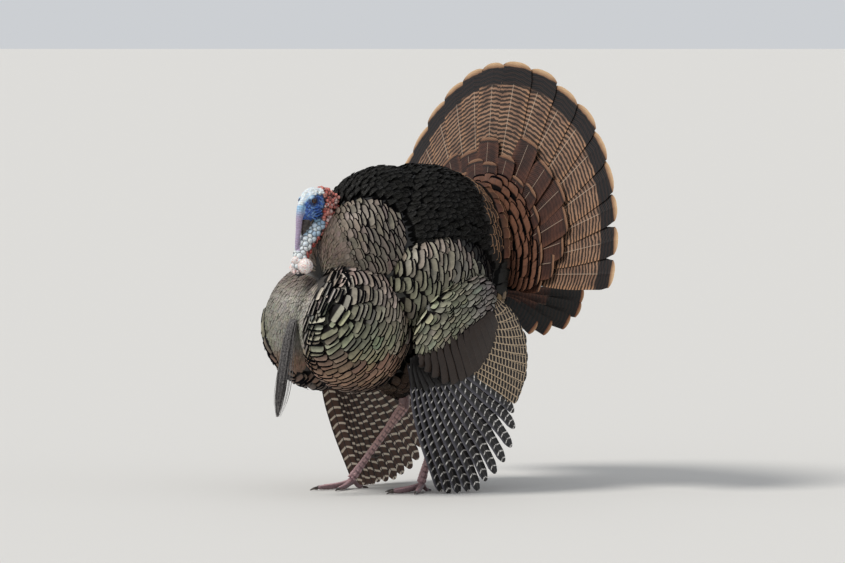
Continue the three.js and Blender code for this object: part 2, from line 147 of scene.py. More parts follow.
def spline(stops, share):
    """A point of the smooth curve through the stops, share running from 0 to 1."""
    stops = np.asarray(stops, float)
    place = np.clip(share, 0, 1) * (len(stops) - 1)
    k = min(int(place), len(stops) - 2)
    w = place - k
    p1, p2 = stops[k], stops[k + 1]
    p0 = stops[k - 1] if k else 2 * stops[0] - stops[1]
    p3 = stops[k + 2] if k + 2 < len(stops) else 2 * stops[-1] - stops[-2]
    d0, d1, d2 = (max(math.dist(a[:3], b[:3]), 1e-6) ** 0.5 for a, b in ((p0, p1), (p1, p2), (p2, p3)))
    m1 = ((p1 - p0) / d0 - (p2 - p0) / (d0 + d1) + (p2 - p1) / d1) * d1
    m2 = ((p2 - p1) / d1 - (p3 - p1) / (d1 + d2) + (p3 - p2) / d2) * d1
    return (
        (2 * w**3 - 3 * w**2 + 1) * p1 + (w**3 - 2 * w**2 + w) * m1 + (3 * w**2 - 2 * w**3) * p2 + (w**3 - w**2) * m2
    )


def unit(v):
    v = np.asarray(v, float)
    return v / np.maximum(np.linalg.norm(v, axis=-1, keepdims=True), 1e-9)


def places_of(piece):
    """Where a piece's points lie, in the bird's axes."""
    return np.array([v.co for v in piece.data.vertices]) * 1000 - ORIGIN


def paint(piece, tone_of):
    """Gives each point of a skin its own colour."""
    tone = np.clip(tone_of(places_of(piece)), 0, 1)
    rgba = np.concatenate([tone, np.ones((len(tone), 1))], 1)
    piece.data.attributes.new("tone", "FLOAT_COLOR", "POINT").data.foreach_set("color", rgba.ravel())


# %% [markdown]
# ## Materials
# All are made of nodes. A body feather is dark at its hidden base, takes its `tone` over the part that shows, and
# ends in a velvety black edge that doesn't shine. A long feather has bars, and the tail a black band and a buff tip.


# %% Material tools
class Nodes:
    """Short ways to add shader nodes to one material."""

    def __init__(self, name, roughness, specular=0.5):
        self.material = bpy.data.materials.new(name)
        self.material.use_nodes = True
        self.tree = self.material.node_tree
        self.shader = self.tree.nodes["Principled BSDF"]
        self.shader.inputs["Roughness"].default_value = roughness
        self.shader.inputs["Specular IOR Level"].default_value = specular

    def add(self, kind, **settings):
        node = self.tree.nodes.new(kind)
        for key, value in settings.items():
            setattr(node, key, value)
        return node

    def plug(self, socket, value):
        if isinstance(value, bpy.types.NodeSocket):
            self.tree.links.new(value, socket)
        elif value is not None:
            socket.default_value = value

    def attribute(self, name, output="Vector"):
        return self.add("ShaderNodeAttribute", attribute_name=name).outputs[output]

    def parts(self, vector):
        node = self.add("ShaderNodeSeparateXYZ")
        self.plug(node.inputs[0], vector)
        return node.outputs

    def math(self, operation, a, b=None, c=None):
        node = self.add("ShaderNodeMath", operation=operation)
        for socket, value in zip(node.inputs, (a, b, c)):
            self.plug(socket, value)
        return node.outputs[0]

    def ramp(self, value, low, high):
        """0 below low, 1 above high, smooth between."""
        node = self.add("ShaderNodeMapRange", interpolation_type="SMOOTHSTEP")
        for socket, v in zip(node.inputs, (value, low, high, 0.0, 1.0)):
            self.plug(socket, v)
        return node.outputs[0]

    def blend(self, share, a, b, mode="MIX"):
        node = self.add("ShaderNodeMix", data_type="RGBA", blend_type=mode)
        sockets = [s for s in node.inputs if s.enabled]
        for socket, value in zip(sockets, (share, a, b)):
            self.plug(socket, (*value, 1.0) if isinstance(value, (tuple, list, np.ndarray)) else value)
        return next(s for s in node.outputs if s.enabled)

    def noise(self, vector, scale, detail=2.0):
        node = self.add("ShaderNodeTexNoise")
        for key, value in (("Vector", vector), ("Scale", scale), ("Detail", detail)):
            self.plug(node.inputs[key], value)
        return node.outputs["Fac"]

    def place(self):
        return self.add("ShaderNodeTexCoord").outputs["Object"]

    def bump(self, height, strength, distance):
        node = self.add("ShaderNodeBump")
        node.inputs["Strength"].default_value = strength
        node.inputs["Distance"].default_value = distance
        self.plug(node.inputs["Height"], height)
        self.plug(self.shader.inputs["Normal"], node.outputs[0])

    def colour(self, value):
        self.plug(self.shader.inputs["Base Color"], value)
        return self.material


def barbs(n, vane, across_pull, count):
    """Fine lines that run from the shaft out and forward, as the barbs of a feather do."""
    across, along = n.parts(vane)[0], n.parts(vane)[1]
    slanted = n.math("SUBTRACT", along, n.math("MULTIPLY", n.math("ABSOLUTE", across), across_pull))
    return n.math("SINE", n.math("MULTIPLY", slanted, count))


# %% Body feathers
def body_feathers(name, roughness, edge_tone, base_tone, specular, metal=0.0, streaks=0.0):
    n = Nodes(name, roughness, specular)
    n.shader.inputs["Metallic"].default_value = metal
    vane = n.attribute("vane")
    across, along, edge = n.parts(vane)
    side = n.math("ABSOLUTE", across)
    tone = n.attribute("tone", "Color")
    lines = barbs(n, vane, 0.30, 70.0)
    patchy = n.noise(n.place(), 90.0, 3.0)
    lit = n.blend(n.math("MULTIPLY", n.ramp(patchy, 0.35, 0.75), 0.35), tone, (0.0, 0.0, 0.0))
    lit = n.blend(n.math("MULTIPLY_ADD", lines, 0.02, 0.02), lit, (0.6, 0.58, 0.5))
    shaft = n.math("SUBTRACT", 1.0, n.ramp(side, 0.01, 0.05))
    lit = n.blend(n.math("MULTIPLY", shaft, 0.2), lit, (0.02, 0.02, 0.02))
    based = n.blend(n.ramp(along, 0.40, 0.52), base_tone, lit)
    wavy = n.math("MULTIPLY_ADD", n.noise(n.place(), 400.0, 1.0), 0.05, -0.025)
    sides = n.math("MULTIPLY", n.ramp(side, 0.84, 0.98), 0.10)
    rim = n.math("SUBTRACT", n.math("ADD", n.math("ADD", along, sides), wavy), edge)
    velvet = n.ramp(rim, 0.0, 0.03)
    shown = n.math("MULTIPLY_ADD", n.ramp(along, 0.40, 0.52), 0.8, 0.2)
    gloss = n.math("MULTIPLY", n.math("SUBTRACT", 1.0, velvet), shown)
    streak = n.math("SINE", n.math("MULTIPLY_ADD", across, 9.0, n.math("MULTIPLY", patchy, 30.0)))
    glint = n.math("MULTIPLY_ADD", n.ramp(streak, 0.75, 1.0), streaks, specular)
    n.plug(n.shader.inputs["Specular IOR Level"], n.math("MULTIPLY", gloss, glint))
    n.bump(lines, 0.15, 0.0003)
    return n.colour(n.blend(velvet, based, edge_tone))


BLACK = (0.003, 0.003, 0.004)
coat_material = body_feathers("bronze feathers", 0.46, BLACK, (0.006, 0.005, 0.005), 0.32, 0.15)
black_material = body_feathers("black feathers", 0.46, BLACK, (0.002, 0.002, 0.002), 0.02, streaks=0.30)
tipped_material = body_feathers("tipped feathers", 0.5, tuple(linear(164, 128, 100)), (0.004, 0.004, 0.004), 0.25)


# %% Long feathers
def bars_of(n, vane, period, slant, wobble, drift):
    """How near a point is to the middle of a bar, 0.5 there and 0 halfway between two; and the parts of the vane."""
    across, far, seed = n.parts(vane)
    side = n.math("ABSOLUTE", across)
    wave = n.math("MULTIPLY_ADD", n.noise(n.place(), 70.0, 2.0), wobble, -0.5 * wobble)
    turns = n.math("DIVIDE", n.math("ADD", n.math("ADD", far, n.math("MULTIPLY", side, slant)), wave), period)
    turns = n.math("ADD", turns, n.math("MULTIPLY", seed, drift))
    near = n.math("ABSOLUTE", n.math("SUBTRACT", n.math("FRACT", turns), 0.5))
    return near, across, far, side


def primary_feathers(name):
    """Outer face blackish with short white bars, turning grey toward one edge as a painted sheen; the face toward the
    body brown with buff arcs.
    """
    n = Nodes(name, 0.45, 0.4)
    vane = n.attribute("vane")
    near, across, far, side = bars_of(n, vane, 17.0, 7.0, 5.0, 3.0)
    outer = n.math("SUBTRACT", 1.0, n.ramp(near, 0.07, 0.11))
    inner = n.math("SUBTRACT", 1.0, n.ramp(near, 0.11, 0.16))
    speck = n.ramp(n.noise(n.place(), 300.0, 1.0), 0.36, 0.60)
    outer = n.math("MULTIPLY", outer, n.math("MULTIPLY_ADD", speck, 0.7, 0.3))
    outer = n.math("MULTIPLY", outer, n.math("SUBTRACT", 1.0, n.ramp(across, 0.50, 0.75)))
    inner = n.math("MULTIPLY", inner, n.math("SUBTRACT", 1.0, n.ramp(side, 0.80, 0.95)))
    # The grey toward one edge of the outer face is a painted sheen.
    painted_sheen_grey = n.blend(n.ramp(across, 0.45, 0.95), tuple(linear(22, 21, 22)), tuple(linear(84, 82, 90)))
    dark_face = n.blend(outer, painted_sheen_grey, tuple(linear(236, 232, 226)))
    brown = n.blend(n.ramp(side, 0.55, 0.95), tuple(linear(96, 72, 60)), tuple(linear(50, 39, 35)))
    brown_face = n.blend(inner, brown, tuple(linear(240, 226, 206)))
    geometry = n.add("ShaderNodeNewGeometry")
    turned = n.math("MULTIPLY", n.parts(geometry.outputs["Normal"])[0], n.parts(geometry.outputs["Position"])[0])
    web = n.blend(n.math("LESS_THAN", turned, 0.0), dark_face, brown_face)
    shaft = n.math("SUBTRACT", 1.0, n.ramp(side, 0.04, 0.08))
    n.bump(barbs(n, vane, 9.0, 2.2), 0.3, 0.0004)
    return n.colour(n.blend(shaft, web, tuple(linear(60, 54, 52))))


def secondary_feathers(name):
    """Narrow tan and dark bars, with tan edges and pale shafts."""
    n = Nodes(name, 0.5, 0.35)
    vane = n.attribute("vane")
    near, across, far, side = bars_of(n, vane, 9.0, 4.0, 4.0, 3.0)
    bar = n.math("SUBTRACT", 1.0, n.ramp(near, 0.12, 0.20))
    speck = n.ramp(n.noise(n.place(), 520.0, 1.0), 0.40, 0.62)
    bar = n.math("MULTIPLY", bar, n.math("MULTIPLY_ADD", speck, 0.5, 0.5))
    bar = n.math("MAXIMUM", bar, n.math("MULTIPLY", n.ramp(side, 0.84, 0.92), 0.9))
    web = n.blend(bar, tuple(linear(24, 19, 18)), tuple(linear(204, 180, 150)))
    shaft = n.math("SUBTRACT", 1.0, n.ramp(side, 0.02, 0.05))
    n.bump(barbs(n, vane, 9.0, 2.2), 0.3, 0.0004)
    return n.colour(n.blend(shaft, web, tuple(linear(176, 158, 134))))


def tail_feathers(name, tip_end, band_end, tip_tone, edge_tone, band_tone, barred, web_tones, period):
    """From the tip: buff, a dark band, then chestnut with fine wavy dark bars. Distances in mm."""
    n = Nodes(name, 0.6, 0.3)
    vane = n.attribute("vane")
    across, far, seed = n.parts(vane)
    side = n.math("ABSOLUTE", across)
    wave = n.math("MULTIPLY_ADD", n.noise(n.place(), 60.0, 3.0), 9.0, -4.5)
    edge = n.math("ADD", far, n.math("MULTIPLY", wave, 0.5))
    bowed = n.math("ADD", n.math("ADD", far, wave), n.math("MULTIPLY", side, -5.0))
    turns = n.math("ADD", n.math("DIVIDE", bowed, period), n.math("MULTIPLY", seed, 5.0))
    phase = n.math("ABSOLUTE", n.math("SUBTRACT", n.math("FRACT", turns), 0.5))
    bars = n.ramp(n.math("ADD", phase, n.math("MULTIPLY", n.noise(n.place(), 240.0, 2.0), 0.12)), 0.24, 0.34)
    cloud = n.ramp(n.noise(n.place(), 26.0, 2.0), 0.3, 0.75)
    light, deep, margin, bar_tone = (tuple(tone) for tone in web_tones)
    chestnut = n.blend(n.ramp(side, 0.6, 1.0), n.blend(cloud, light, deep), margin)
    web = n.blend(n.math("MULTIPLY", bars, barred), chestnut, bar_tone)
    shaft = n.math("SUBTRACT", 1.0, n.ramp(side, 0.010, 0.025))
    web = n.blend(n.math("MULTIPLY", shaft, 0.6), web, tuple(linear(186, 166, 146)))
    band = n.math("SUBTRACT", 1.0, n.ramp(edge, band_end - 3, band_end + 3))
    faint = n.math("MULTIPLY", n.math("SUBTRACT", 1.0, bars), 0.08)
    web = n.blend(band, web, n.blend(faint, tuple(band_tone), tuple(linear(110, 72, 54))))
    tip = n.math("SUBTRACT", 1.0, n.ramp(edge, tip_end - 1.5, tip_end + 1.5))
    buff = n.blend(n.ramp(edge, 0.0, tip_end), tuple(edge_tone), tuple(tip_tone))
    n.bump(barbs(n, vane, 12.0, 1.6), 0.3, 0.0005)
    return n.colour(n.blend(tip, web, buff))


def plain_vanes(name):
    """The broad smooth coverts of the wing: the tone of the piece with a thin dark edge."""
    n = Nodes(name, 0.5, 0.35)
    vane = n.attribute("vane")
    across, far, seed = n.parts(vane)
    side = n.math("ABSOLUTE", across)
    shade = n.math("MULTIPLY_ADD", n.noise(n.place(), 60.0, 2.0), 0.7, 0.6)
    tone = n.blend(1.0, n.attribute("tone", "Color"), shade, "MULTIPLY")
    shaft = n.math("SUBTRACT", 1.0, n.ramp(side, 0.02, 0.05))
    tone = n.blend(n.math("MULTIPLY", shaft, 0.5), tone, tuple(linear(60, 48, 42)))
    rim = n.math("MAXIMUM", n.ramp(side, 0.90, 0.98), n.math("SUBTRACT", 1.0, n.ramp(far, 1.5, 3.0)))
    n.bump(barbs(n, vane, 9.0, 2.2), 0.3, 0.0004)
    return n.colour(n.blend(n.math("MULTIPLY", rim, 0.85), tone, BLACK))


covert_material = plain_vanes("wing coverts")
primary_material = primary_feathers("primaries")
secondary_material = secondary_feathers("secondaries")
barred_web = (linear(150, 117, 94), linear(112, 84, 68), linear(160, 121, 92), linear(18, 13, 12))
plain_web = (linear(76, 46, 36), linear(44, 27, 22), linear(88, 55, 41), linear(22, 14, 12))
rectrix_material = tail_feathers(
    "tail", 11.0, 46.0, linear(134, 100, 74), linear(196, 164, 128), linear(15, 14, 16), 0.9, barred_web, 8.6
)
tail_covert_material = tail_feathers(
    "tail coverts", 6.0, 10.0, linear(112, 78, 58), linear(138, 104, 80), linear(24, 16, 14), 0.3, plain_web, 9.0
)
undertail_material = tail_feathers(
    "undertail coverts", 8.0, 90.0, linear(128, 78, 52), linear(184, 142, 104), linear(16, 19, 19), 0.4, plain_web, 9.0
)


# %% Bare skin, horn, eye and bristle
def toned_skin(name, roughness, grain, strength):
    n = Nodes(name, roughness, 0.5)
    n.shader.inputs["Subsurface Weight"].default_value = 0.08
    n.shader.inputs["Subsurface Radius"].default_value = (0.004, 0.002, 0.001)
    speck = n.ramp(n.noise(n.place(), grain * 0.6, 3.0), 0.3, 0.8)
    n.bump(n.noise(n.place(), grain, 4.0), strength, 0.0006)
    share = n.math("MULTIPLY", speck, 0.35)
    return n.colour(n.blend(share, n.attribute("tone", "Color"), (0.03, 0.02, 0.03), "MULTIPLY"))


def streaked(name, light, dark, roughness, scale):
    n = Nodes(name, roughness, 0.5)
    cloud = n.ramp(n.noise(n.place(), scale, 4.0), 0.3, 0.7)
    n.bump(n.noise(n.place(), scale * 6, 3.0), 0.2, 0.0003)
    return n.colour(n.blend(cloud, tuple(dark), tuple(light)))


skin_material = toned_skin("skin", 0.5, 420.0, 0.5)
horn_material = streaked("horn", linear(92, 82, 76), linear(40, 34, 32), 0.35, 160.0)
bristle_material = streaked("bristle", linear(116, 112, 110), linear(40, 38, 40), 0.5, 300.0)
print("materials", len(bpy.data.materials))

# %% [markdown]
# ## The lobes of the body
# The puffed body is a handful of rounded masses. Each has a middle, three radii and a tilt. The skin lies inside
# them by the coat's depth, and each is also a tract over which rows of feathers spread from a pole.

# %% Lobes
COAT = 11.0  # how deep the coat lies over the skin
BODY_GRAIN, HEAD_GRAIN, LEG_GRAIN = 7.0, 1.0, 1.3  # how finely each skin is melted together


class Lobe:
    def __init__(self, centre, radii, pitch=0.0):
        self.centre, self.radii = np.array(centre, float), np.array(radii, float) - COAT
        p = math.radians(pitch)
        self.turn = np.array([[1, 0, 0], [0, math.cos(p), -math.sin(p)], [0, math.sin(p), math.cos(p)]])
        self.pitch = p

    def point(self, sphere):
        """The skin's point under a point of the unit sphere."""
        return self.centre + (sphere * self.radii) @ self.turn.T

    def sphere(self, points):
        """Where points lie on the unit sphere; longer than 1 means outside the skin."""
        return ((points - self.centre) @ self.turn) / self.radii

    def normal(self, sphere):
        return unit((sphere / self.radii) @ self.turn.T)


def both(centre, radii, pitch=0.0):
    return {name: Lobe((s * centre[0], *centre[1:]), radii, pitch) for name, s in SIDES.items()}


breast = both((57, -160, 334), (102, 126, 134), 8)
cushion = both((33, -101, 480), (91, 124, 120))
shoulder = both((112, 6, 420), (74, 132, 104), 14)
arm = both((171, 4, 352), (30, 122, 74), 34)
thigh = both((62, 44, 250), (52, 56, 76), 0)
core = Lobe((0, 20, 395), (144, 232, 205))
back = Lobe((0, 44, 470), (158, 206, 186))
mantle = Lobe((0, -40, 512), (112, 152, 142))
rump = Lobe((0, 148, 440), (142, 80, 186), -10)
vent = Lobe((0, 196, 395), (60, 56, 60))
pairs = [lobe for pair in (breast, cushion, shoulder, arm, thigh) for lobe in pair.values()]
lobes = [*pairs, core, back, mantle, rump, vent]


# %% [markdown]
# ## Body skin
# Rounded masses are added one by one, joined, melted together with a voxel remesh and smoothed.


# %% Body skin
def only(piece):
    bpy.ops.object.select_all(action="DESELECT")
    piece.select_set(True)
    bpy.context.view_layer.objects.active = piece


def melt(piece, voxel, rounds):
    only(piece)
    modifier = piece.modifiers.new("melt", "REMESH")
    modifier.mode = "VOXEL"
    modifier.voxel_size = voxel * 0.001
    modifier.use_smooth_shade = True
    bpy.ops.object.modifier_apply(modifier="melt")
    if rounds:
        modifier = piece.modifiers.new("soften", "SMOOTH")
        modifier.iterations = rounds
        bpy.ops.object.modifier_apply(modifier="soften")


bpy.ops.object.select_all(action="DESELECT")
masses = []
for lobe in lobes:
    bpy.ops.mesh.primitive_uv_sphere_add(segments=40, ring_count=24, radius=1.0, location=(0, 0, 0))
    ball = bpy.context.object
    bpy.ops.object.mode_set(mode="EDIT")
    bpy.ops.mesh.select_all(action="SELECT")
    bpy.ops.transform.resize(value=tuple(lobe.radii * 0.001))
    bpy.ops.transform.rotate(value=-lobe.pitch, orient_axis="X", center_override=(0, 0, 0))
    bpy.ops.transform.translate(value=tuple(world(lobe.centre)))
    bpy.ops.object.mode_set(mode="OBJECT")
    masses.append(ball)
for ball in masses:
    ball.select_set(True)
bpy.ops.object.join()
body_skin = bpy.context.object
body_skin.name = "body_skin"
melt(body_skin, BODY_GRAIN, 6)
reached = places_of(body_skin)
print("body skin", len(reached), reached.min(0).round(), reached.max(0).round())


# %% [markdown]
# ## Head and neck
# The bare head is built of smooth masses and many small warts, melted together finely. Each vertex then takes the
# colour of what it belongs to: white crown, blue face, red nape and throat edges, pale lumps down the throat.

# %% Round tubes and balls from arrays
SPHERE_RINGS, SPHERE_SIDES = 7, 10


def ball_arrays(centre, radii):
    """A small closed ball of quads with its poles closed by thin quads."""
    lat = np.linspace(0.02, math.pi - 0.02, SPHERE_RINGS)
    lon = np.arange(SPHERE_SIDES) * 2 * math.pi / SPHERE_SIDES
    ring = np.stack(
        [
            np.outer(np.sin(lat), np.cos(lon)),
            np.outer(np.sin(lat), np.sin(lon)),
            np.outer(np.cos(lat), np.ones(SPHERE_SIDES)),
        ],
        -1,
    )
    points = ring.reshape(-1, 3) * radii + centre
    faces = []
    for i in range(SPHERE_RINGS - 1):
        for k in range(SPHERE_SIDES):
            a, b = i * SPHERE_SIDES + k, i * SPHERE_SIDES + (k + 1) % SPHERE_SIDES
            faces.append((a, a + SPHERE_SIDES, b + SPHERE_SIDES, b))
    for start in (0, (SPHERE_RINGS - 1) * SPHERE_SIDES):
        for k in range(1, SPHERE_SIDES - 2, 2):
            quad = (start, start + k, start + k + 1, start + k + 2)
            faces.append(quad if start == 0 else quad[::-1])
    return points, faces


def tube_arrays(stops, sides=16, steps=24, flat=1.0, wrinkle=0.0, period=6.0):
    """A tube through [x, y, z, radius] stops with closed ends. wrinkle rings it like a caterpillar."""
    stops = np.asarray(stops, float)
    path = np.array([spline(stops, i / steps) for i in range(steps + 1)])
    along = unit(np.gradient(path[:, :3], axis=0))
    across = unit(np.array([1.0, 0, 0]) - along * along[:, :1])
    up = np.cross(along, across)
    length = np.concatenate([[0], np.cumsum(np.linalg.norm(np.diff(path[:, :3], axis=0), axis=1))])
    radius = np.maximum(path[:, 3], 0.2) * (1 + wrinkle * np.sin(length * 2 * math.pi / period))
    angle = np.arange(sides) * 2 * math.pi / sides
    rings = (
        path[:, None, :3]
        + (radius[:, None] * np.cos(angle))[..., None] * across[:, None]
        + (radius[:, None] * flat * np.sin(angle))[..., None] * up[:, None]
    )
    caps = []
    for end, sign in ((0, -1), (-1, 1)):
        for share, out in ((0.75, 0.35), (0.3, 0.62)):
            cap = path[end, :3] + (rings[end] - path[end, :3]) * share + along[end] * sign * out * radius[end]
            caps.append(cap)
    rings = np.concatenate([[caps[1], caps[0]], rings, [caps[2], caps[3]]])
    points = rings.reshape(-1, 3)
    faces = []
    for i in range(len(rings) - 1):
        for k in range(sides):
            a, b = i * sides + k, i * sides + (k + 1) % sides
            faces.append((a, b, b + sides, a + sides))
    for start in (0, (len(rings) - 1) * sides):
        for k in range(1, sides - 2, 2):
            quad = (start, start + k, start + k + 1, start + k + 2)
            faces.append(quad[::-1] if start == 0 else quad)
    return points, faces


def gather(parts):
    points, faces, start = [], [], 0
    for p, f in parts:
        points.append(p)
        faces.append(np.asarray(f) + start)
        start += len(p)
    return np.concatenate(points), np.concatenate(faces)


# %% Masses and warts of the head
WHITE, PALE_BLUE = linear(226, 232, 234), linear(150, 190, 222)
BLUE, DEEP_BLUE = linear(56, 108, 200), linear(26, 46, 104)
RED, PINK = linear(190, 84, 74), linear(234, 170, 156)
LILAC = linear(166, 150, 176)
KNOB = linear(238, 230, 226)

NECK = [
    [0, -251, 444, 13],
    [0, -252, 462, 14],
    [0, -245, 482, 14],
    [0, -234, 502, 15.5],
    [0, -219, 518, 17],
    [0, -205, 534, 18],
    [0, -197, 554, 18],
    [0, -193, 576, 17],
    [0, -199, 596, 13],
]
head_parts = [
    ball_arrays((0, -220, 581), (20.5, 27, 31)),
    ball_arrays((0, -212, 587), (18.5, 36, 23.5)),
    ball_arrays((0, -232, 562), (15.5, 17, 22)),
    ball_arrays((0, -190, 570), (18, 32, 37)),
    tube_arrays(NECK, 20, 30),
]
SNOOD = [
    [1, -246, 582, 7.0],
    [2, -250, 570, 7.4],
    [2, -253, 550, 6.8],
    [2, -255, 528, 5.6],
    [2, -258, 504, 4.5],
    [2, -260, 490, 3.0],
]
head_parts.append(tube_arrays(SNOOD, 12, 70, 1.0, 0.10, 4.5))

warts = []  # centre, radius, colour


def wart(centre, radius, colour, squash=1.0):
    warts.append((np.array(centre, float), radius, colour))
    head_parts.append(ball_arrays(centre, np.array([radius, radius, radius * squash])))


def on_neck(share, angle, out=0.0):
    """A point on the neck: share runs from its foot to the head, angle goes round from the front."""
    stop = spline(NECK, share)
    along = unit(spline(NECK, min(1, share + 0.01))[:3] - spline(NECK, max(0, share - 0.01))[:3])
    front = unit(np.array([0, -1.0, 0]) - along * -along[1])
    side = np.array([1.0, 0, 0])
    return stop[:3] + (stop[3] + out) * (math.cos(angle) * front + math.sin(angle) * side)


for row in range(13):  # big flat pale pebbles down the throat
    share = 0.10 + 0.047 * row
    radius = spline(NECK, share)[3]
    step = 11.0 / (radius + 1)
    for k in range(-3, 4):
        angle = step * (k + 0.5 * (row % 2)) + chance.normal(0, 0.10)
        if abs(angle) < 1.75:
            size = 6.5 + chance.normal(0, 0.6)
            tint = mix(WHITE, PALE_BLUE, np.clip(0.12 * (row - 4) + chance.normal(0, 0.2), 0, 1))
            wart(on_neck(share + chance.normal(0, 0.006), angle, -2.8), size, tint, 0.85)
for row in range(13):  # a red edge behind the throat
    share = 0.12 + 0.055 * row
    for sign in (1, -1):
        for step in range(3):
            angle = sign * math.radians(106 + 18 * step + chance.normal(0, 6))
            tint = mix(RED, PINK, np.clip(0.07 * row + chance.normal(0, 0.25), 0, 1))
            wart(on_neck(share + chance.normal(0, 0.01), angle, -0.8), 3.5 + chance.normal(0, 0.7), tint)
for k in range(250):  # lumps from the cheeks to the nape
    height = chance.uniform(528, 612)
    rear = np.interp(height, [528, 545, 566, 590, 606, 613], [-176, -160, -152, -160, -176, -190])
    front = np.interp(height, [528, 560, 600, 612], [-206, -204, -203, -205])
    y = rear + (front - rear) * chance.uniform(0, 1)
    wide = np.interp(height, [528, 560, 590, 613], [17, 19.5, 18, 8])
    wide = wide * math.sqrt(1.02 - ((y - front) / (rear - front)) ** 2)
    side = 1 if k % 2 else -1
    lit = chance.uniform(0, 1)
    tint = mix(RED, PINK, lit) if lit < 0.75 else mix(PINK, WHITE, 0.45)
    wart((side * wide * chance.uniform(0.88, 1.08), y, height - 2), chance.uniform(2.2, 4.2), tint)
for k in range(26):
    y = chance.uniform(-200, -160)
    top = np.interp(y, [-200, -185, -176, -160], [609, 607, 602, 588])
    wart((chance.normal(0, 6), y, top - 1), chance.uniform(3.0, 4.6), mix(RED, PINK, chance.uniform(0.1, 1)))
for _ in range(46):
    spot = unit(np.array([chance.normal(0, 0.5), chance.uniform(-0.8, 0.4), chance.uniform(0.5, 1.0)]))
    wart(np.array([0, -212, 587]) + spot * (17.4, 34.5, 22.2), chance.uniform(2.5, 4.6), WHITE, 0.4)
for _ in range(60):
    angle, share = chance.uniform(-3.1, 3.1), chance.uniform(0.0, 0.10)
    wart(on_neck(share, angle, -1.0), chance.uniform(2.5, 4.0), mix(RED, KNOB, chance.uniform(0.3, 1.0)))
KNOBS = [((21, -251, 457), 15.0), ((-7, -260, 452), 9.5), ((3, -264, 468), 7.5), ((-20, -246, 462), 9.0)]
for centre, radius in KNOBS:
    wart(centre, radius, KNOB, 1.03)
for sign in (1, -1):
    ring = [
        [sign * 20.4, -229.5 + 7.8 * math.cos(a), 585 + 6.2 * math.sin(a), 1.5]
        for a in np.linspace(0, 2 * math.pi, 13)
    ]
    head_parts.append(tube_arrays(ring, 6, 30))
    head_parts.append(ball_arrays((sign * 18.0, -229.5, 590.0), (4, 10, 4)))
    for k in range(5):
        fold = [
            [sign * (17 - k), -241 + 2 * k, 574 - 5 * k, 1.6],
            [sign * (20.5 - 0.9 * k), -228 + k, 571.5 - 5.6 * k, 2.1],
            [sign * (20.2 - 0.8 * k), -212 + k, 577 - 5.6 * k, 1.6],
        ]
        head_parts.append(tube_arrays(fold, 6, 12))
    for k in range(3):
        fold = [
            [sign * (19.6 - 0.6 * k), -216 + 3.2 * k, 594 - 2 * k, 1.2],
            [sign * (20.6 - 0.3 * k), -211 + 3.0 * k, 584 - 2 * k, 1.6],
            [sign * (19.8 - 0.6 * k), -213 + 3.0 * k, 573 - 2 * k, 1.2],
        ]
        head_parts.append(tube_arrays(fold, 6, 12))

# %% Melt the head and colour it
head_points, head_faces = gather(head_parts)
head_skin = make_piece("head_skin", head_points, head_faces)
melt(head_skin, HEAD_GRAIN, 1)


def swirl(p, scale, shift=0.0):
    """A smooth pattern in the skin, 0 to 1, with patches about scale mm across."""
    q = p / scale
    return 0.5 + 0.5 * np.sin(
        2.1 * q[:, 0] + 1.3 * q[:, 1] + 2.0 * np.sin(1.9 * q[:, 2] - 1.1 * q[:, 0] + shift) + shift
    ) * np.cos(1.7 * q[:, 2] + 1.2 * np.sin(2.3 * q[:, 1] + shift))


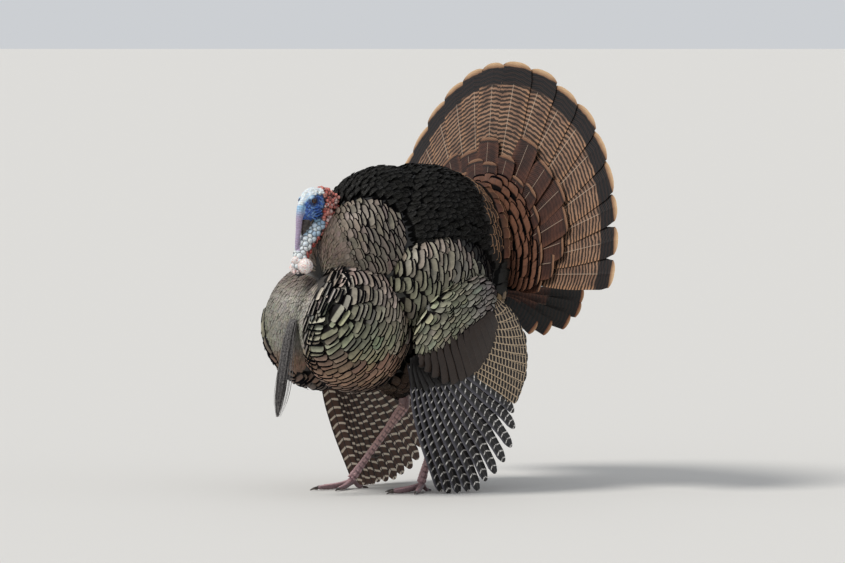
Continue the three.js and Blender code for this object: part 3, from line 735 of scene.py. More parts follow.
def head_tone(p):
    """The colour of the bare skin at each point, from where it lies on the head, with painted shade in its wrinkles,
    creases, crevices and ear openings.
    """
    x, y, z = p[:, 0], p[:, 1], p[:, 2]
    face = ease(-201, -207, y) * ease(536, 550, z)
    tone = mix(np.tile(linear(58, 66, 84), (len(p), 1)), BLUE, face)
    tone = mix(tone, DEEP_BLUE, face * 0.75 * swirl(p, 6.0))
    tone = mix(tone, PALE_BLUE, face * 0.75 * swirl(p, 5.0, 2.0) ** 3)
    around = np.hypot(y + 229.5, z - 585)
    tone = mix(tone, DEEP_BLUE * 0.5, face * (1 - ease(7, 12, around)) * 0.85)
    crown_line = np.interp(y, [-250, -238, -225, -205], [572, 588, 597, 601])
    crown = ease(-2.5, 2.5, z - crown_line) * ease(-197, -203, y)
    front = ease(-242, -248, y) * ease(562, 570, z)
    pale = np.maximum(0.7 * swirl(p, 7.0, 1.0) ** 2, 0.9 * (1 - ease(0, 9, z - crown_line)))
    pale = mix(np.tile(WHITE, (len(p), 1)), PALE_BLUE, pale)
    tone = mix(tone, pale, np.maximum(crown, 0.95 * front))
    # Wavy dark lines over the face: painted shade in its wrinkles.
    painted_wrinkle_shade = 1 - ease(0.02, 0.09, np.abs(swirl(p, 5.5, 0.6) - 0.5))
    tone = mix(tone, DEEP_BLUE * 0.25, face * (1 - crown) * (1 - front) * painted_wrinkle_shade * 0.85)
    # Dark red at the nape under its lumps: painted shade in the crevices between them.
    tone = mix(tone, RED * 0.3, ease(-206, -200, y) * ease(526, 540, z))
    near, second = np.full(len(p), 9.0), np.full(len(p), 9.0)
    chosen = np.zeros((len(p), 3))
    for centre, radius, colour in warts:
        d = np.linalg.norm(p - centre, axis=1) / radius
        hit = d < near
        second = np.where(hit, near, np.minimum(second, d))
        near[hit], chosen[hit] = d[hit], colour
    tone = mix(tone, chosen, 1 - ease(1.10, 1.3, near))
    # Painted shade in the creases between the warts and round their edges.
    painted_crease_shade = (1 - ease(0.08, 0.28, second - near)) * (near > 0.60) + ease(0.96, 1.08, near)
    tone = mix(tone, tone * 0.2, np.clip(painted_crease_shade, 0, 1) * (near < 2) * (1 - crown) * 0.9)
    snood_back = np.interp(z, [490, 504, 530, 552, 576], [-256, -253, -249, -246, -242])
    hang = (z > 487) & (z < 576) & (np.abs(x - 2) < 9) & (y < snood_back)
    tone[hang] = mix(LILAC, PALE_BLUE, ease(548, 574, z[hang]))
    for centre, radius in KNOBS:
        near_knob = np.linalg.norm(p - np.array(centre), axis=1) < radius * 1.1
        spots = ease(0.72, 0.9, swirl(p[near_knob], 3.2, 0.7)) + 0.25 * ease(0.5, 0.9, swirl(p[near_knob], 8.0, 2.1))
        tone[near_knob] = mix(KNOB, linear(206, 118, 112), np.clip(0.65 * spots, 0, 1))
    # Dark at each ear: painted shade in the ear opening.
    ear = np.linalg.norm((p - np.array([0, -203, 586])) * (0, 1, 1), axis=1)
    return mix(tone, DEEP_BLUE * 0.3, (1 - ease(2.0, 4.5, ear)) * (np.abs(x) > 12))


paint(head_skin, head_tone)
print("head skin", len(head_skin.data.vertices), "vertices, warts", len(warts))

# %% [markdown]
# ## Legs
# Each leg is a tube with rows of scutes down the front and small scales round the rest, melted together like the head.

# %% Legs and feet
HOCK = {"left": (58, 66, 180), "right": (-58, 53, 160)}
ANKLE = {"left": (66, 2, 18), "right": (-84, -60, 18)}
TOES = {"middle": (0, 74, 6.0), "inner": (34, 53, 5.6), "outer": (-36, 53, 5.6), "hind": (168, 24, 4.4)}


def toe_point(name, turn, distance, height):
    side = SIDES[name]
    angle = math.radians(side * turn - side * 6)
    ankle = ANKLE[name]
    return [ankle[0] - math.sin(angle) * distance, ankle[1] - math.cos(angle) * distance, height]


leg_parts = []
scutes = []
for name in SIDES:
    hock, ankle = np.array(HOCK[name], float), np.array(ANKLE[name], float)
    girth = ((-0.02, 10.5), (0.1, 9.6), (0.3, 7.2), (0.75, 6.9), (0.94, 8.6))
    stops = [[*(hock + (ankle - hock) * t), r] for t, r in girth]
    above = [SIDES[name] * 62, hock[1] - 12, 244, 26]
    knee = [SIDES[name] * 60, hock[1] - 3, 204, 15]
    leg_parts.append(tube_arrays([above, knee, *stops], 16, 40))
    along = unit(ankle - hock)
    front = unit(np.array([0, -1.0, 0]) - along * -along[1])
    across = np.cross(along, front)
    shank = math.dist(hock, ankle)
    for k in range(int(shank / 5.6)):
        share = (k + 0.5) * 5.6 / shank
        radius = float(np.interp(share, [0, 0.1, 0.3, 0.75, 0.94, 1], [10.2, 9.4, 7.0, 6.8, 8.4, 8.4]))
        place = hock + (ankle - hock) * share
        for angle, broad in ((0, 1.0), (0.95, 0.7), (-0.95, 0.7), (1.8, 0.6), (-1.8, 0.6), (2.6, 0.55), (-2.6, 0.55)):
            out = math.cos(angle) * front + math.sin(angle) * across
            spot = place + out * (radius - 1.0) + along * (2.4 * (angle != 0) * (k % 2))
            scutes.append((spot, radius * 0.62 * broad))
            leg_parts.append(ball_arrays(spot, np.array([1.0, 1.0, 0.62]) * radius * 0.50 * broad))
    for toe, (turn, length, radius) in TOES.items():
        stops = [
            toe_point(name, turn, -3, 14 if toe != "hind" else 18),
            toe_point(name, turn, length * 0.35, 8.6 if toe != "hind" else 14),
            toe_point(name, turn, length * 0.7, radius),
            toe_point(name, turn, length, radius * 0.9),
        ]
        thick = [radius * 1.2, radius * 1.05, radius * 0.95, radius * 0.72]
        stops = [[*s, t] for s, t in zip(stops, thick)]
        leg_parts.append(tube_arrays(stops, 12, 30, 0.9, 0.05, 9.0))
        for k in range(int(length / 4.4)):
            at = spline(stops, min(1, (k + 1.0) * 4.4 / length))
            spot = at[:3] + np.array([0, 0, at[3] * 0.62])
            scutes.append((spot, at[3] * 0.7))
            straight = turn in (0, 168)
            scale = [at[3] * 0.72, 2.3, at[3] * 0.42] if straight else at[3] * np.array([0.6, 0.5, 0.42])
            leg_parts.append(ball_arrays(spot, np.array(scale)))
leg_points, leg_faces = gather(leg_parts)
leg_points[:, 2] = np.maximum(leg_points[:, 2], 0.2)
leg_skin = make_piece("leg_skin", leg_points, leg_faces)
melt(leg_skin, LEG_GRAIN, 1)


def leg_tone(p):
    pinkish, mauve, dark = linear(224, 184, 178), linear(190, 154, 158), linear(96, 76, 80)
    tone = mix(np.tile(pinkish, (len(p), 1)), mauve, ease(110, 15, p[:, 2]))
    near = np.full(len(p), 9.0)
    for centre, radius in scutes:
        near = np.minimum(near, np.linalg.norm(p - centre, axis=1) / radius)
    # Darker between the scutes: painted shade in the grooves.
    tone = mix(tone, dark, 0.75 * ease(0.72, 1.05, near))
    # Dark at the top, under the thigh feathers: painted shade.
    return mix(tone, linear(30, 26, 28), ease(205, 222, p[:, 2]))


paint(leg_skin, leg_tone)
paint(body_skin, lambda p: np.tile(linear(10, 9, 9), (len(p), 1)))
body_count = len(body_skin.data.vertices)
print("leg skin", len(leg_skin.data.vertices))

# %% One skin
bpy.ops.object.select_all(action="DESELECT")
for piece in (head_skin, leg_skin, body_skin):
    piece.select_set(True)
bpy.context.view_layer.objects.active = body_skin
bpy.ops.object.join()
body_skin.name = "skin"
PAIRED = ("breast", "neck_cushion", "shoulder", "wing", "thigh", "shank", "foot")
FLESH = [f"{part}_{side}" for part in PAIRED for side in SIDES]
FLESH += ["trunk", "neck", "head", "snood", "caruncle_left", "caruncle_right", "caruncle_middle", "tail_base"]
finish_piece(body_skin, skin_material, FLESH)

# %% [markdown]
# ## A feather
# A vane is a grid of points, wide as far as its squarish tip. Top and underside share their rim, so each feather is
# closed and thin. The vane of a body feather leans up off the skin toward its tip, over the roots of the next row.


# %% Closed vanes
def lens_faces(rows, columns):
    inner = columns - 2

    def under(i, j):
        rim = i in (0, rows - 1) or j in (0, columns - 1)
        return i * columns + j if rim else rows * columns + (i - 1) * inner + j - 1

    faces = []
    for i in range(rows - 1):
        for j in range(columns - 1):
            k = i * columns + j
            faces.append((k, k + 1, k + 1 + columns, k + columns))
            faces.append((under(i, j), under(i + 1, j), under(i + 1, j + 1), under(i, j + 1)))
    return np.array(faces)


def lens(top, normal, thick):
    """Closed vanes from grids of points [feather, row, column, xyz]; returns points and how to spread attributes."""
    count, rows, columns = top.shape[:3]
    below = (top - normal * thick)[:, 1:-1, 1:-1]
    points = np.concatenate([top.reshape(count, -1, 3), below.reshape(count, -1, 3)], 1)
    faces = lens_faces(rows, columns)[None] + (np.arange(count) * points.shape[1])[:, None, None]
    return points.reshape(-1, 3), faces.reshape(-1, 4)


def rim_of(count, rows, columns):
    """Which points lie on the rim of their vane."""
    grid = np.zeros((rows, columns), bool)
    grid[[0, -1]] = True
    grid[:, [0, -1]] = True
    one = np.concatenate([grid.ravel(), np.zeros((rows - 2) * (columns - 2), bool)])
    return np.tile(one, count)


def spread(values):
    """Attribute values of a grid, repeated for the undersides."""
    count, rows, columns, size = values.shape
    below = values[:, 1:-1, 1:-1]
    return np.concatenate([values.reshape(count, -1, size), below.reshape(count, -1, size)], 1).reshape(-1, size)


# %% Rows of feathers over a lobe
ROWS, COLUMNS = 7, 7
SMALL_THICK, LONG_THICK = 0.5, 0.7  # how thick a short and a long feather are


def tract(
    lobe, pole, start, end, pitch, width, look, keep,
    reach=3.1, lift=8.0, corner=0.09, rough=1.0, dark=1.0, cell=(0, 0, 1),
):
    """Feathers in rings round the pole of a lobe, each lying away from the pole.

    pitch(angle) is how much of a feather shows, in mm, width(angle) its breadth, look(places, angle) its colour and
    the share at which its black edge begins, keep(places) which feathers to keep. rough is how much they differ.
    """
    pole = unit((np.array(pole, float) @ lobe.turn) / lobe.radii)
    first = unit(np.cross(pole, [0.3, 0.2, 1.0]))
    second = np.cross(pole, first)
    roots, lies, steps, spans, angles = [], [], [], [], []
    angle, row = start, 0
    while angle < end:
        turn = np.linspace(0, 2 * math.pi, 361)
        out = np.outer(np.cos(turn), first) + np.outer(np.sin(turn), second)
        ring = math.cos(angle) * pole + math.sin(angle) * out
        lie = math.cos(angle) * out - math.sin(angle) * pole
        scale = np.linalg.norm(lie * lobe.radii, axis=1)
        length = np.concatenate([[0], np.cumsum(np.linalg.norm(np.diff(ring * lobe.radii, axis=0), axis=1))])
        count = max(3, int(round(length[-1] / (width(angle) * 0.86))))
        at = (np.arange(count) + 0.5 * (row % 2) + chance.normal(0, 0.08, count)) % count / count * length[-1]
        where = np.interp(at, length, turn)
        out = np.outer(np.cos(where), first) + np.outer(np.sin(where), second)
        nudge = angle + chance.normal(0, 0.10, count) * pitch(angle) / lobe.radii.mean()
        c, s = np.cos(nudge)[:, None], np.sin(nudge)[:, None]
        roots.append(c * pole + s * out)
        lies.append(c * out - s * pole)
        steps.append(np.full(count, pitch(angle)))
        spans.append(np.full(count, width(angle)))
        angles.append(np.stack([np.full(count, angle), where], 1))
        angle += pitch(angle) / scale.mean()
        row += 1
    root, lie, step, span = (np.concatenate(v) for v in (roots, lies, steps, spans))
    angles = np.concatenate(angles)
    skew = chance.normal(0, 0.10 * rough, len(root))[:, None]
    across = np.cross(lie, root)
    lie, across = unit(lie + across * skew), unit(across - lie * skew)
    kept = keep(lobe.point(root) + lobe.normal(root) * 4)
    root, lie, across, step, span, angles = (v[kept] for v in (root, lie, across, step, span, angles))
    n = len(root)
    long = step * reach * chance.normal(1, 0.05, n)
    wide = span * chance.normal(1, 0.07, n)
    s = np.array([-1, -0.93, -0.5, 0, 0.5, 0.93, 1])[None, None, :]
    t = np.array([0, 0.25, 0.5, 0.7, 0.86, 0.965, 1.0])[None, :, None]
    half = wide[:, None, None] * 0.5 * (0.3 + 0.7 * ease(0, 0.55, t))
    ragged = chance.normal(0, 0.012 * rough, (n, 1, COLUMNS)) * ease(0.8, 1, t)
    forward = long[:, None, None] * (t - corner * np.abs(s) ** 4 * ease(0.45, 1, t) + ragged)
    sideways = half * s * (1 - 0.05 * ease(0.8, 1, t))
    along_scale = np.linalg.norm(lie * lobe.radii, axis=1)[:, None, None, None]
    across_scale = np.linalg.norm(across * lobe.radii, axis=1)[:, None, None, None]
    sphere = unit(
        root[:, None, None]
        + lie[:, None, None] * forward[..., None] / along_scale
        + across[:, None, None] * sideways[..., None] / across_scale
    )
    raise_by = chance.normal(1, 0.10 * rough, n)[:, None, None]
    roll = chance.normal(0, 0.7 * rough, n)[:, None, None]
    high = -1.5 + (lift + 1.0) * raise_by * t**1.15 - 0.7 * s**2 * t + roll * s * t
    normal = lobe.normal(sphere)
    top = lobe.point(sphere) + normal * high[..., None]
    tone, edge = look(lobe.point(root), angles)
    tone = np.asarray(tone) * np.clip(chance.normal(1, 0.16 * rough, n), 0.5, 1.6)[:, None]
    tone = tone * (1 + chance.normal(0, 0.035, (n, 3)))
    # Each feather is painted brighter toward its tip and on one side: a painted highlight.
    tone = tone[:, None, None] * (1 + 0.2 * s[..., None] + 1.2 * rough * (t[..., None] - 0.78))
    tone = np.broadcast_to(tone, (n, ROWS, COLUMNS, 3))
    vane = np.empty((n, ROWS, COLUMNS, 3))
    vane[..., 0] = s
    vane[..., 1] = 1 - (1 - t) * dark
    vane[..., 2] = (edge + chance.normal(0, 0.008, n))[:, None, None]
    uv = np.empty((n, ROWS, COLUMNS, 2))
    uv[..., 0] = (cell[0] + cell[2] * (0.02 + 0.94 * angles[:, 1] / (2 * math.pi)))[:, None, None] + 0.0015 * s
    uv[..., 1] = (cell[1] + cell[2] * (0.02 + 0.94 * angles[:, 0] / math.pi))[:, None, None] + 0.003 * t
    return top, normal, np.clip(tone, 0, 1), vane, uv


def build_coat(name, runs, material):
    top, normal, tone, vane, uv = (np.concatenate(v) for v in zip(*runs))
    points, faces = lens(top, normal, SMALL_THICK)
    rim = rim_of(len(top), ROWS, COLUMNS)
    piece = make_piece(name, points, faces, spread(tone), spread(vane), spread(uv), rim)
    finish_piece(piece, material)
    print("  feathers", len(top))


def outside(*others, by=0.0):
    """Keeps what isn't sunk in any of the other lobes."""

    def keep(places):
        kept = np.ones(len(places), bool)
        for lobe in others:
            size = 1 + by / lobe.radii.min()
            kept &= np.linalg.norm(lobe.sphere(places), axis=1) > size
        return kept

    return keep


def trunk_end(places):
    """The body's feathers end this far in front of the fan."""
    return (places - FAN_ROOT) @ FAN_FRONT > 40


def behind_fan(places):
    return (places - FAN_ROOT) @ FAN_FRONT < -5


def all_of(*keeps):
    return lambda places: np.logical_and.reduce([k(places) for k in keeps])


FAN_ROOT = np.array([0, 212, 423.0])
LEAN = math.radians(7)
FAN_UP = np.array([0, math.sin(LEAN), math.cos(LEAN)])
FAN_FRONT = np.array([0, -math.cos(LEAN), math.sin(LEAN)])
print("one feather has", len(lens_faces(ROWS, COLUMNS)) * 2, "triangles")

# %% [markdown]
# ## Breast
# Each lobe has three tracts, cut at a distance from the cleft. Tiny smooth feathers run down from the top of the lobe,
# narrow strips with black between them spread from the cleft, and broad overlapping bands follow, olive at first,
# copper below and mauve behind, partly their own bronze and partly a painted iridescent sheen.

# %% Breast feathers
OLIVE, SAGE, MAUVE = linear(132, 131, 104), linear(150, 146, 136), linear(134, 120, 112)
COPPER, TAUPE = linear(132, 103, 85), linear(148, 137, 124)
GREEN_GREY = linear(124, 124, 108)


def cleft_distance(places, side):
    """How far points lie from the line that runs down beside the cleft of the breast."""
    top, foot = np.array([24 * side, -244, 404.0]), np.array([12 * side, -274, 300.0])
    share = np.clip((places - top) @ (foot - top) / ((foot - top) @ (foot - top)), 0, 1)
    return np.linalg.norm(places - top - share[:, None] * (foot - top), axis=1) * (1 + 0.8 * share)


def near_cleft(side, low, high):
    return lambda places: (cleft_distance(places, side) >= low) & (cleft_distance(places, side) < high)


def breast_look(places, angles):
    height = (places[:, 2] - 334) / 134
    rear = (places[:, 1] + 160) / 126 + 0.5 * (np.abs(places[:, 0]) - 57) / 102
    drift = 0.5 + 0.5 * np.sin(0.045 * places[:, 1] + 1.7 * np.sin(0.03 * places[:, 2]))
    tone = mix(np.tile(OLIVE, (len(places), 1)), GREEN_GREY, 0.8 * drift)
    cleft = np.minimum(cleft_distance(places, 1), cleft_distance(places, -1))
    tone = mix(tone, SAGE, 1 - ease(40, 110, cleft))
    # The mauve above and behind and the copper below are partly the feathers' own bronze and partly a painted
    # iridescent sheen, placed by height and by how far back a feather lies.
    tone = mix(tone, MAUVE, ease(0.15, 0.75, height + 0.35 * rear))
    tone = mix(tone, TAUPE * 1.2, ease(0.2, 0.9, rear) * 0.8)
    tone = mix(tone, COPPER, ease(-0.18, -0.5, height - 0.15 * drift))
    tone = mix(tone, COPPER * 0.3, ease(-0.62, -0.86, height))
    first = 33 if places[:, 0].mean() > 0 else 99
    share = np.interp(cleft, [first, first + 1, first + 36, first + 44, first + 120], [1.2, 0.74, 0.78, 0.83, 0.875])
    # The near breast is painted lighter and the far one darker: painted light and shade.
    return tone * (1.2 if places[:, 0].mean() > 0 else 0.78), share


breast_runs = {}
for name, side in SIDES.items():
    other = [breast["left" if side < 0 else "right"], cushion[name], shoulder[name], arm[name], core]
    top_pole, side_pole, pole = (-20 * side, 40, 134), (-60 * side, -103, 62), (20 * side, -103, 62)
    inside = outside(*other, by=-12)
    smooth, narrow = (34, 70) if side > 0 else (100, 112)
    breast_runs[name] = [
        tract(
            breast[name], spot, low, high, lambda a, step=step: step, lambda a, wide=wide: wide, breast_look,
            all_of(inside, near_cleft(side, near, far)), reach=reach, lift=lift, dark=dark, corner=0.05, rough=rough,
            cell=(0.5 * (side < 0), 0, 0.5),
        )
        for spot, low, high, near, far, step, wide, reach, lift, dark, rough in (
            (top_pole, 0.3, 2.7, -1, smooth, 7.0, 4.6, 4.0, 2.6, 0.35, 0.4),
            (side_pole, 0.02, 2.4, smooth, narrow, 7.4, 32.0, 3.6, 8.5, 1.25, 1.0),
            (pole, 0.10, 2.75, narrow, 900, 9.2, 34.0, 3.4, 8.5, 1.25, 1.0),
        )
    ]
for name in SIDES:
    build_coat(f"coat_breast_{name}", breast_runs[name], coat_material)

# %% [markdown]
# ## Neck cushions, shoulders and wing coverts
# Fine scales in front grow into long upright crescents behind, and the small coverts of the wing run down and back.


# %% Cushions
def grow(a, low, high, small, large):
    return small + (large - small) * float(ease(low, high, a))


def cushion_look(places, angles):
    height = (places[:, 2] - 480) / 120
    tone = mix(np.tile(linear(124, 108, 97), (len(places), 1)), GREEN_GREY, ease(-0.1, -0.6, height))
    tone = mix(tone, TAUPE * 0.85, ease(0.8, 1.3, angles[:, 0]))
    # Painted light: the feathers are lighter toward the pole at the front, where the neck and knob cast shade.
    tone = tone * (0.78 + 0.45 * (1 - ease(0.15, 0.6, angles[:, 0])))[:, None]
    return tone, np.interp(angles[:, 0], [0.93, 0.97, 1.15, 1.4], [1.2, 0.95, 0.89, 0.86])


def shoulder_look(places, angles):
    height = (places[:, 2] - 420) / 104
    tone = mix(np.tile(linear(132, 129, 110), (len(places), 1)), TAUPE * 0.9, ease(-0.1, 0.5, height))
    tone = mix(tone, linear(126, 120, 119), ease(20, 90, places[:, 1]))
    y = places[:, 1]
    black_above = np.interp(y, [-60, 5, 58, 89, 112, 130], [530, 494, 436, 400, 366, 330]) + 6 * np.sin(0.3 * y)
    black = ease(-4, 6, places[:, 2] - black_above)
    return mix(tone * 0.86, linear(10, 10, 11), black), np.full(len(places), 0.87)


def covert_line(y):
    """How high the small coverts of the wing end, from the wrist back to the elbow."""
    return np.interp(y, [-106, -91, -35, 41, 84, 112], [266, 270, 290, 334, 350, 342])


def above_greater_coverts(places):
    return places[:, 2] > covert_line(places[:, 1])


def covert_look(places, angles):
    tone = mix(np.tile(linear(146, 144, 122), (len(places), 1)), linear(138, 131, 127), ease(-30, 70, places[:, 1]))
    last = 1 - ease(6, 14, places[:, 2] - covert_line(places[:, 1]))
    return mix(tone, linear(30, 36, 32), last), np.full(len(places), 0.88)


cushion_runs, shoulder_runs, covert_runs = [], [], []
for name, side in SIDES.items():
    other = "left" if side < 0 else "right"
    free = outside(cushion[other], breast[name], shoulder[name], back, mantle, by=-9)
    for low, high, step, wide, reach, lift, dark, rough in (
        (0.03, 0.92, 6.6, 4.6, 3.8, 2.6, 0.35, 0.4),
        (0.92, 1.10, 6.6, 11.0, 3.4, 4.5, 0.8, 0.6),
        (1.10, 1.34, 8.0, 24.0, 3.4, 7.0, 1.2, 1.0),
        (1.34, 2.6, 9.2, 38.0, 3.4, 8.0, 1.3, 1.0),
    ):
        cushion_runs.append(
            tract(
                cushion[name], (-0.30 * side, -0.88, -0.38), low, high, lambda a, step=step: step,
                lambda a, wide=wide: wide, cushion_look, free, reach=reach, lift=lift, dark=dark, rough=rough,
                cell=(0.5 * (side < 0), 0, 0.5),
            )
        )
    shoulder_runs.append(
        tract(
            shoulder[name], (-13 * side, -117, -9), 0.04, 2.7, lambda a: 10.0,
            lambda a: grow(a, 0.2, 0.9, 24.0, 42.0), shoulder_look,
            outside(breast[name], cushion[name], arm[name], back, mantle, by=-13), reach=3.4, lift=8.5, dark=1.25,
            cell=(0.5 * (side < 0), 0.5, 0.5),
        )
    )
    covert_runs.append(
        tract(
            arm[name], (-11 * side, -66, 44), 0.03, 2.3, lambda a: 8.8, lambda a: 25.0, covert_look,
            all_of(outside(breast[name], shoulder[name], core, by=-8), above_greater_coverts), lift=7.5, dark=1.2,
            cell=(0.5 * (side < 0), 0, 0.5),
        )
    )
build_coat("coat_neck_cushions", cushion_runs, coat_material)
build_coat("coat_shoulders", shoulder_runs, coat_material)
build_coat("coat_wing_coverts", covert_runs, coat_material)

# %% [markdown]
# ## Back, rump, flanks and belly
# Black on the back, with pointed feathers; toward the tail each feather ends in copper, in row behind row.


# %% Back and rump
def back_look(places, angles):
    return np.tile(linear(7, 7, 9), (len(places), 1)), np.full(len(places), 0.95)


def tipped_look(places, angles):
    tone = mix(np.tile(linear(20, 18, 18), (len(places), 1)), linear(96, 62, 46), ease(120, 150, places[:, 1]))
    low = ease(470, 440, places[:, 2])
    return mix(tone, linear(12, 12, 12), low), np.where(low > 0.5, 1.2, 0.945)


def rows_end(low, high):
    """Keeps the rows whose place, back and down along the body, lies between two values."""
    return lambda p: (p[:, 1] + 0.1 * (470 - p[:, 2]) >= low) & (p[:, 1] + 0.1 * (470 - p[:, 2]) < high)


def rump_look(places, angles):
    tone = mix(np.tile(linear(150, 96, 64), (len(places), 1)), linear(132, 82, 58), ease(1.2, 1.6, angles[:, 0]))
    tone = mix(tone, linear(128, 106, 80), ease(430, 380, places[:, 2]))
    return mix(tone, linear(30, 30, 28), ease(350, 315, places[:, 2])), np.full(len(places), 0.93)


def belly_look(places, angles):
    tone = mix(np.tile(linear(30, 28, 26), (len(places), 1)), linear(74, 54, 42), ease(60, 0, places[:, 1]) * 0.5)
    return tone, np.full(len(places), 0.94)


def flank_look(places, angles):
    """Black along the flank, turning to the belly's brown below."""
    upper, edge = back_look(places, angles)
    return mix(upper, belly_look(places, angles)[0], ease(330, 280, places[:, 2])), edge


others = [lobe for pair in (breast, cushion, shoulder, arm) for lobe in pair.values()]
back_runs = [
    tract(
        lobe, (0, -1, -0.1), 0.3, 2.4, lambda a: 13.0, lambda a: 13.0, back_look,
        all_of(outside(core, rump, hidden_by, *others, by=2), trunk_end, rows_end(-900, 88)),
        lift=8.0, dark=1.1, corner=0.30, cell=(0, 0, 0.5),
    )
    for lobe, hidden_by in ((back, mantle), (mantle, back))
]
tipped_runs = [
    tract(
        lobe, (0, -1, -0.1), 0.5, 2.4, lambda a: 10.5, lambda a: 22.0, tipped_look,
        all_of(outside(*hidden_by, *others, by=2), trunk_end, rows_end(88, 900), lambda p: p[:, 2] > 395),
        lift=9.0, dark=1.1, cell=(0.5, 0.5, 0.5),
    )
    for lobe, hidden_by in ((back, (core, rump)), (rump, (back, core)))
]
core_runs = [
    tract(
        core, (0, -1, -0.2), 0.6, 3.1, lambda a: 12.5, lambda a: 26.0,
        flank_look,
        all_of(
            outside(back, mantle, rump, vent, *others, *thigh.values(), by=2),
            lambda p: trunk_end(p) | (p[:, 2] < 372),
        ),
        lift=9.0, dark=1.1, cell=(0, 0.5, 0.5),
    ),
] + [
    tract(
        lobe, (0, -0.75, 1), 0.4, 3.0, lambda a: 12.0, lambda a: 20.0, belly_look,
        all_of(outside(core, other, by=2), behind_fan), lift=7.0, dark=1.1, cell=(0, 0.5, 0.5),
    )
    for lobe, other in ((rump, vent), (vent, rump))
]
rump_runs = [
    tract(
        rump, (0, -1, 0.18), 0.75, 2.2, lambda a: 12.0, lambda a: 24.0, rump_look,
        all_of(outside(back, core, *others, by=2), trunk_end, lambda p: p[:, 2] <= 395),
        reach=3.0, lift=10.0, dark=1.35, cell=(0.5, 0, 0.5),
    ),
]
thigh_runs = [
    tract(
        thigh[name], (0, 0, 1), 0.5, 2.9, lambda a: 11.0, lambda a: 18.0, belly_look,
        outside(core, breast[name], by=2), lift=8.0, cell=(0.5, 0.25 + 0.25 * (side < 0), 0.25),
    )
    for name, side in SIDES.items()
]
build_coat("coat_back", back_runs, black_material)
build_coat("coat_flanks", core_runs, black_material)
build_coat("coat_tipped", tipped_runs, tipped_material)
build_coat("coat_rump", rump_runs, coat_material)
build_coat("coat_thighs", thigh_runs, black_material)

# %% [markdown]
# The skin takes the tone of the feathers that lie over it, deepened as painted shade under them, so nothing pale shows
# between them.

# %% Skin under the feathers
OPEN_ANGLE, PAINTED_UNDER_SHADE = 1.2, 0.12  # how far from the pole it is read, how deep its shade is
LOOKS = [breast_look] * 2 + [cushion_look] * 2 + [shoulder_look] * 2 + [covert_look] * 2 + [belly_look] * 3
LOOKS += [back_look] * 2 + [tipped_look, belly_look]
p = places_of(body_skin)[:body_count]
nearest = np.argmin([np.linalg.norm(lobe.sphere(p), axis=1) for lobe in lobes], axis=0)
values = np.empty(len(body_skin.data.vertices) * 4)
body_skin.data.attributes["tone"].data.foreach_get("color", values)
values = values.reshape(-1, 4)
for index, look in enumerate(LOOKS):
    mine = np.flatnonzero(nearest == index)
    if len(mine):
        # Painted shade: each feather tone is darkened for the skin beneath it.
        values[mine, :3] = look(p[mine], np.full((len(mine), 2), OPEN_ANGLE))[0] * PAINTED_UNDER_SHADE
body_skin.data.attributes["tone"].data.foreach_set("color", values.ravel())
print("skin coloured under", len(lobes), "masses")

# %% [markdown]
# ## Wings
# The wings droop with their tips on the ground. Each long feather follows a bowed line from its root to its tip, and
# the roots, the bends and the tips of neighbours lie on smooth curves of their own.


# %% Long closed vanes
def surface_normal(place, outward):
    g = np.gradient(place, axis=1)
    f = np.gradient(place, axis=0)
    normal = unit(np.cross(g, f))
    return normal * np.sign((normal * outward).sum(-1, keepdims=True))


def long_vanes(name, feathers, material, replaced=(), tone=(0.5, 0.5, 0.5)):
    """Joins long feathers. Each is (places [row, column, xyz], outward, across values, rows' mm from tip, seed)."""
    points, faces, vanes, uvs, rims, start = [], [], [], [], [], 0
    for k, (place, outward, across, far, seed) in enumerate(feathers):
        normal = surface_normal(place, np.asarray(outward, float))
        rows, columns = place.shape[:2]
        p, f = lens(place[None], normal[None], LONG_THICK)
        first = np.cross(place[0, 1] - place[0, 0], place[1, 0] - place[0, 0])
        if first @ normal[0, 0] < 0:
            f = f[:, ::-1]
        vane = np.empty((1, rows, columns, 3))
        vane[..., 0], vane[..., 1], vane[..., 2] = across, far, seed
        uv = np.empty((1, rows, columns, 2))
        uv[..., 0] = (k + 0.5 + 0.44 * np.broadcast_to(across, (rows, columns))) / len(feathers)
        uv[..., 1] = np.linspace(0.01, 0.99, rows)[:, None]
        points.append(p)
        faces.append(f + start)
        vanes.append(spread(vane))
        uvs.append(spread(uv))
        rims.append(rim_of(1, rows, columns))
        start += len(p)
    points, faces, vanes, uvs, rims = (np.concatenate(v) for v in (points, faces, vanes, uvs, rims))
    piece = make_piece(name, points, faces, np.tile(tone, (len(points), 1)), vanes, uvs, rims)
    finish_piece(piece, material, replaced)


ACROSS = np.array([-1, -0.78, -0.5, -0.22, -0.05, 0.0, 0.05, 0.22, 0.5, 0.78, 1.0])
SHAFT = np.array([0, 0, 0, 0, 0.2, 1, 0.2, 0, 0, 0, 0])


